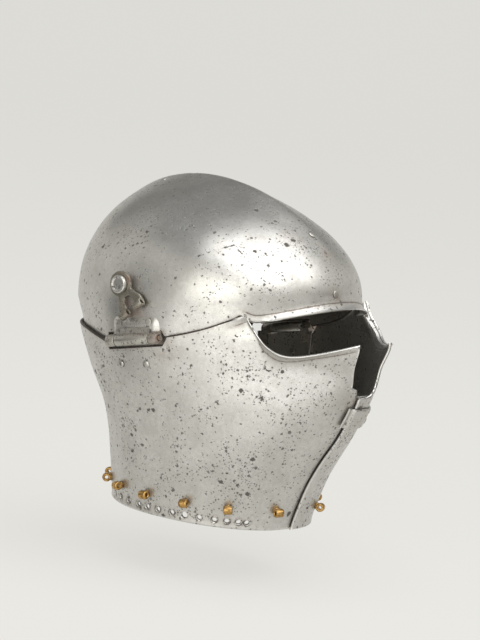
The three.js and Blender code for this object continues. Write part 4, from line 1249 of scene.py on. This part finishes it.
def build_stage():
    """floor that curves up into a backdrop all round"""
    flat, bend, top = 6.5, 2.5, 10.0
    prof = [(0.0, 0.0), (0.5, 0.0), (2.0, 0.0), (flat, 0.0)]
    prof += [(flat + bend * math.sin(a), bend - bend * math.cos(a))
             for a in np.linspace(0.1, math.pi / 2, 12)]
    prof += [(flat + bend, top)]
    seg = 64
    verts, faces = [(0, 0, -FLOOR_DROP)], []
    for r, z in prof[1:]:
        ring = [2 * math.pi * i / seg for i in range(seg)]
        verts += [(r * math.cos(a), r * math.sin(a), z - FLOOR_DROP) for a in ring]
    for i in range(seg):
        faces.append((0, 1 + i, 1 + (i + 1) % seg))
    for k in range(len(prof) - 2):
        for i in range(seg):
            j = (i + 1) % seg
            faces.append((1 + k * seg + i, 1 + (k + 1) * seg + i, 1 + (k + 1) * seg + j, 1 + k * seg + j))
    floor = stage_object("studio_floor", verts, faces, "pale_paper", (0.15, 0.149, 0.143),
                         (0.93, 0.92, 0.875), 0.68)
    floor.data.polygons.foreach_set("use_smooth", np.ones(len(faces), bool))


def stage_object(name, verts, faces, mat_name, base, glow, strength):
    me = bpy.data.meshes.new(name)
    me.from_pydata(verts, [], faces)
    obj = bpy.data.objects.new(name, me)
    bpy.context.scene.collection.objects.link(obj)
    mat = bpy.data.materials.new(mat_name)
    mat.use_nodes = True
    p = mat.node_tree.nodes["Principled BSDF"]
    p.inputs["Base Color"].default_value = (*base, 1)
    p.inputs["Roughness"].default_value = 0.95
    p.inputs["Specular IOR Level"].default_value = 0.0
    p.inputs["Emission Color"].default_value = (*glow, 1)
    p.inputs["Emission Strength"].default_value = strength
    me.materials.append(mat)
    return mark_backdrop(obj) or obj


CENTRE = Vector((0, 0, 0.13))


def from_view(x, y, z, distance):
    """a place at that distance from the helmet; x right, y up, z towards the camera"""
    right, up, back = view_axes()
    d = unit(right * x + up * y + back * z)
    return CENTRE + Vector(d * distance)


def card(name, place, width, height, shade=0.03, glow=0.0):
    """studio flag or reflector that shows only in reflections"""
    w, h = width / 2, height / 2
    corners = [(-w, -h, 0), (w, -h, 0), (w, h, 0), (-w, h, 0)]
    obj = stage_object(name, corners, [(0, 1, 2, 3)], name + "_cloth", (shade,) * 3, (1, .995, .98), glow)
    obj.location = place
    obj.rotation_euler = (CENTRE - place).to_track_quat("Z", "Y").to_euler()
    obj.visible_camera = obj.visible_shadow = obj.visible_diffuse = False


def area(name, place, size, power, color=(1, 1, 1), size_y=None):
    light = bpy.data.lights.new(name, "AREA")
    light.shape = "RECTANGLE"
    light.size, light.size_y = size, size_y or size
    light.energy, light.color = power, color
    obj = bpy.data.objects.new(name, light)
    bpy.context.scene.collection.objects.link(obj)
    obj.location = place
    obj.rotation_euler = (CENTRE - place).to_track_quat("-Z", "Y").to_euler()
    return obj


def build_lights():
    world = bpy.data.worlds.new("studio_world")
    bpy.context.scene.world = world
    world.use_nodes = True
    bg = world.node_tree.nodes["Background"]
    bg.inputs["Color"].default_value = (0.95, 0.97, 1.0, 1)
    bg.inputs["Strength"].default_value = 0.25
    area("key", from_view(.38, .82, .42, 2.2), 2.6, 54)
    area("front", from_view(-.30, .20, .93, 2.6), 1.7, 20, (1, .985, .955))
    card("flag_left", from_view(-1, .05, .30, 1.3), .8, 1.6, shade=.35)
    card("flag_top", from_view(0, .74, -.76, 1.5), 2.6, .8, shade=.25)
    card("flag_low_left", from_view(-1, -.2, .12, .5), .30, .32)
    card("flag_low_right", from_view(1, -.2, .14, .5), .32, .32)
    card("table_glow", from_view(-.1, -.38, .92, .33), .6, .13, glow=1.7)
    view = bpy.context.scene.view_settings
    view.view_transform = "Standard"
    view.look = "None"
    view.exposure = 0.0


build_camera()
build_stage()
build_lights()
build_skull()
for _side in (-1, 1):
    build_cheek(_side)
    build_hinge(_side)
    build_pivot(_side)
build_clasp()
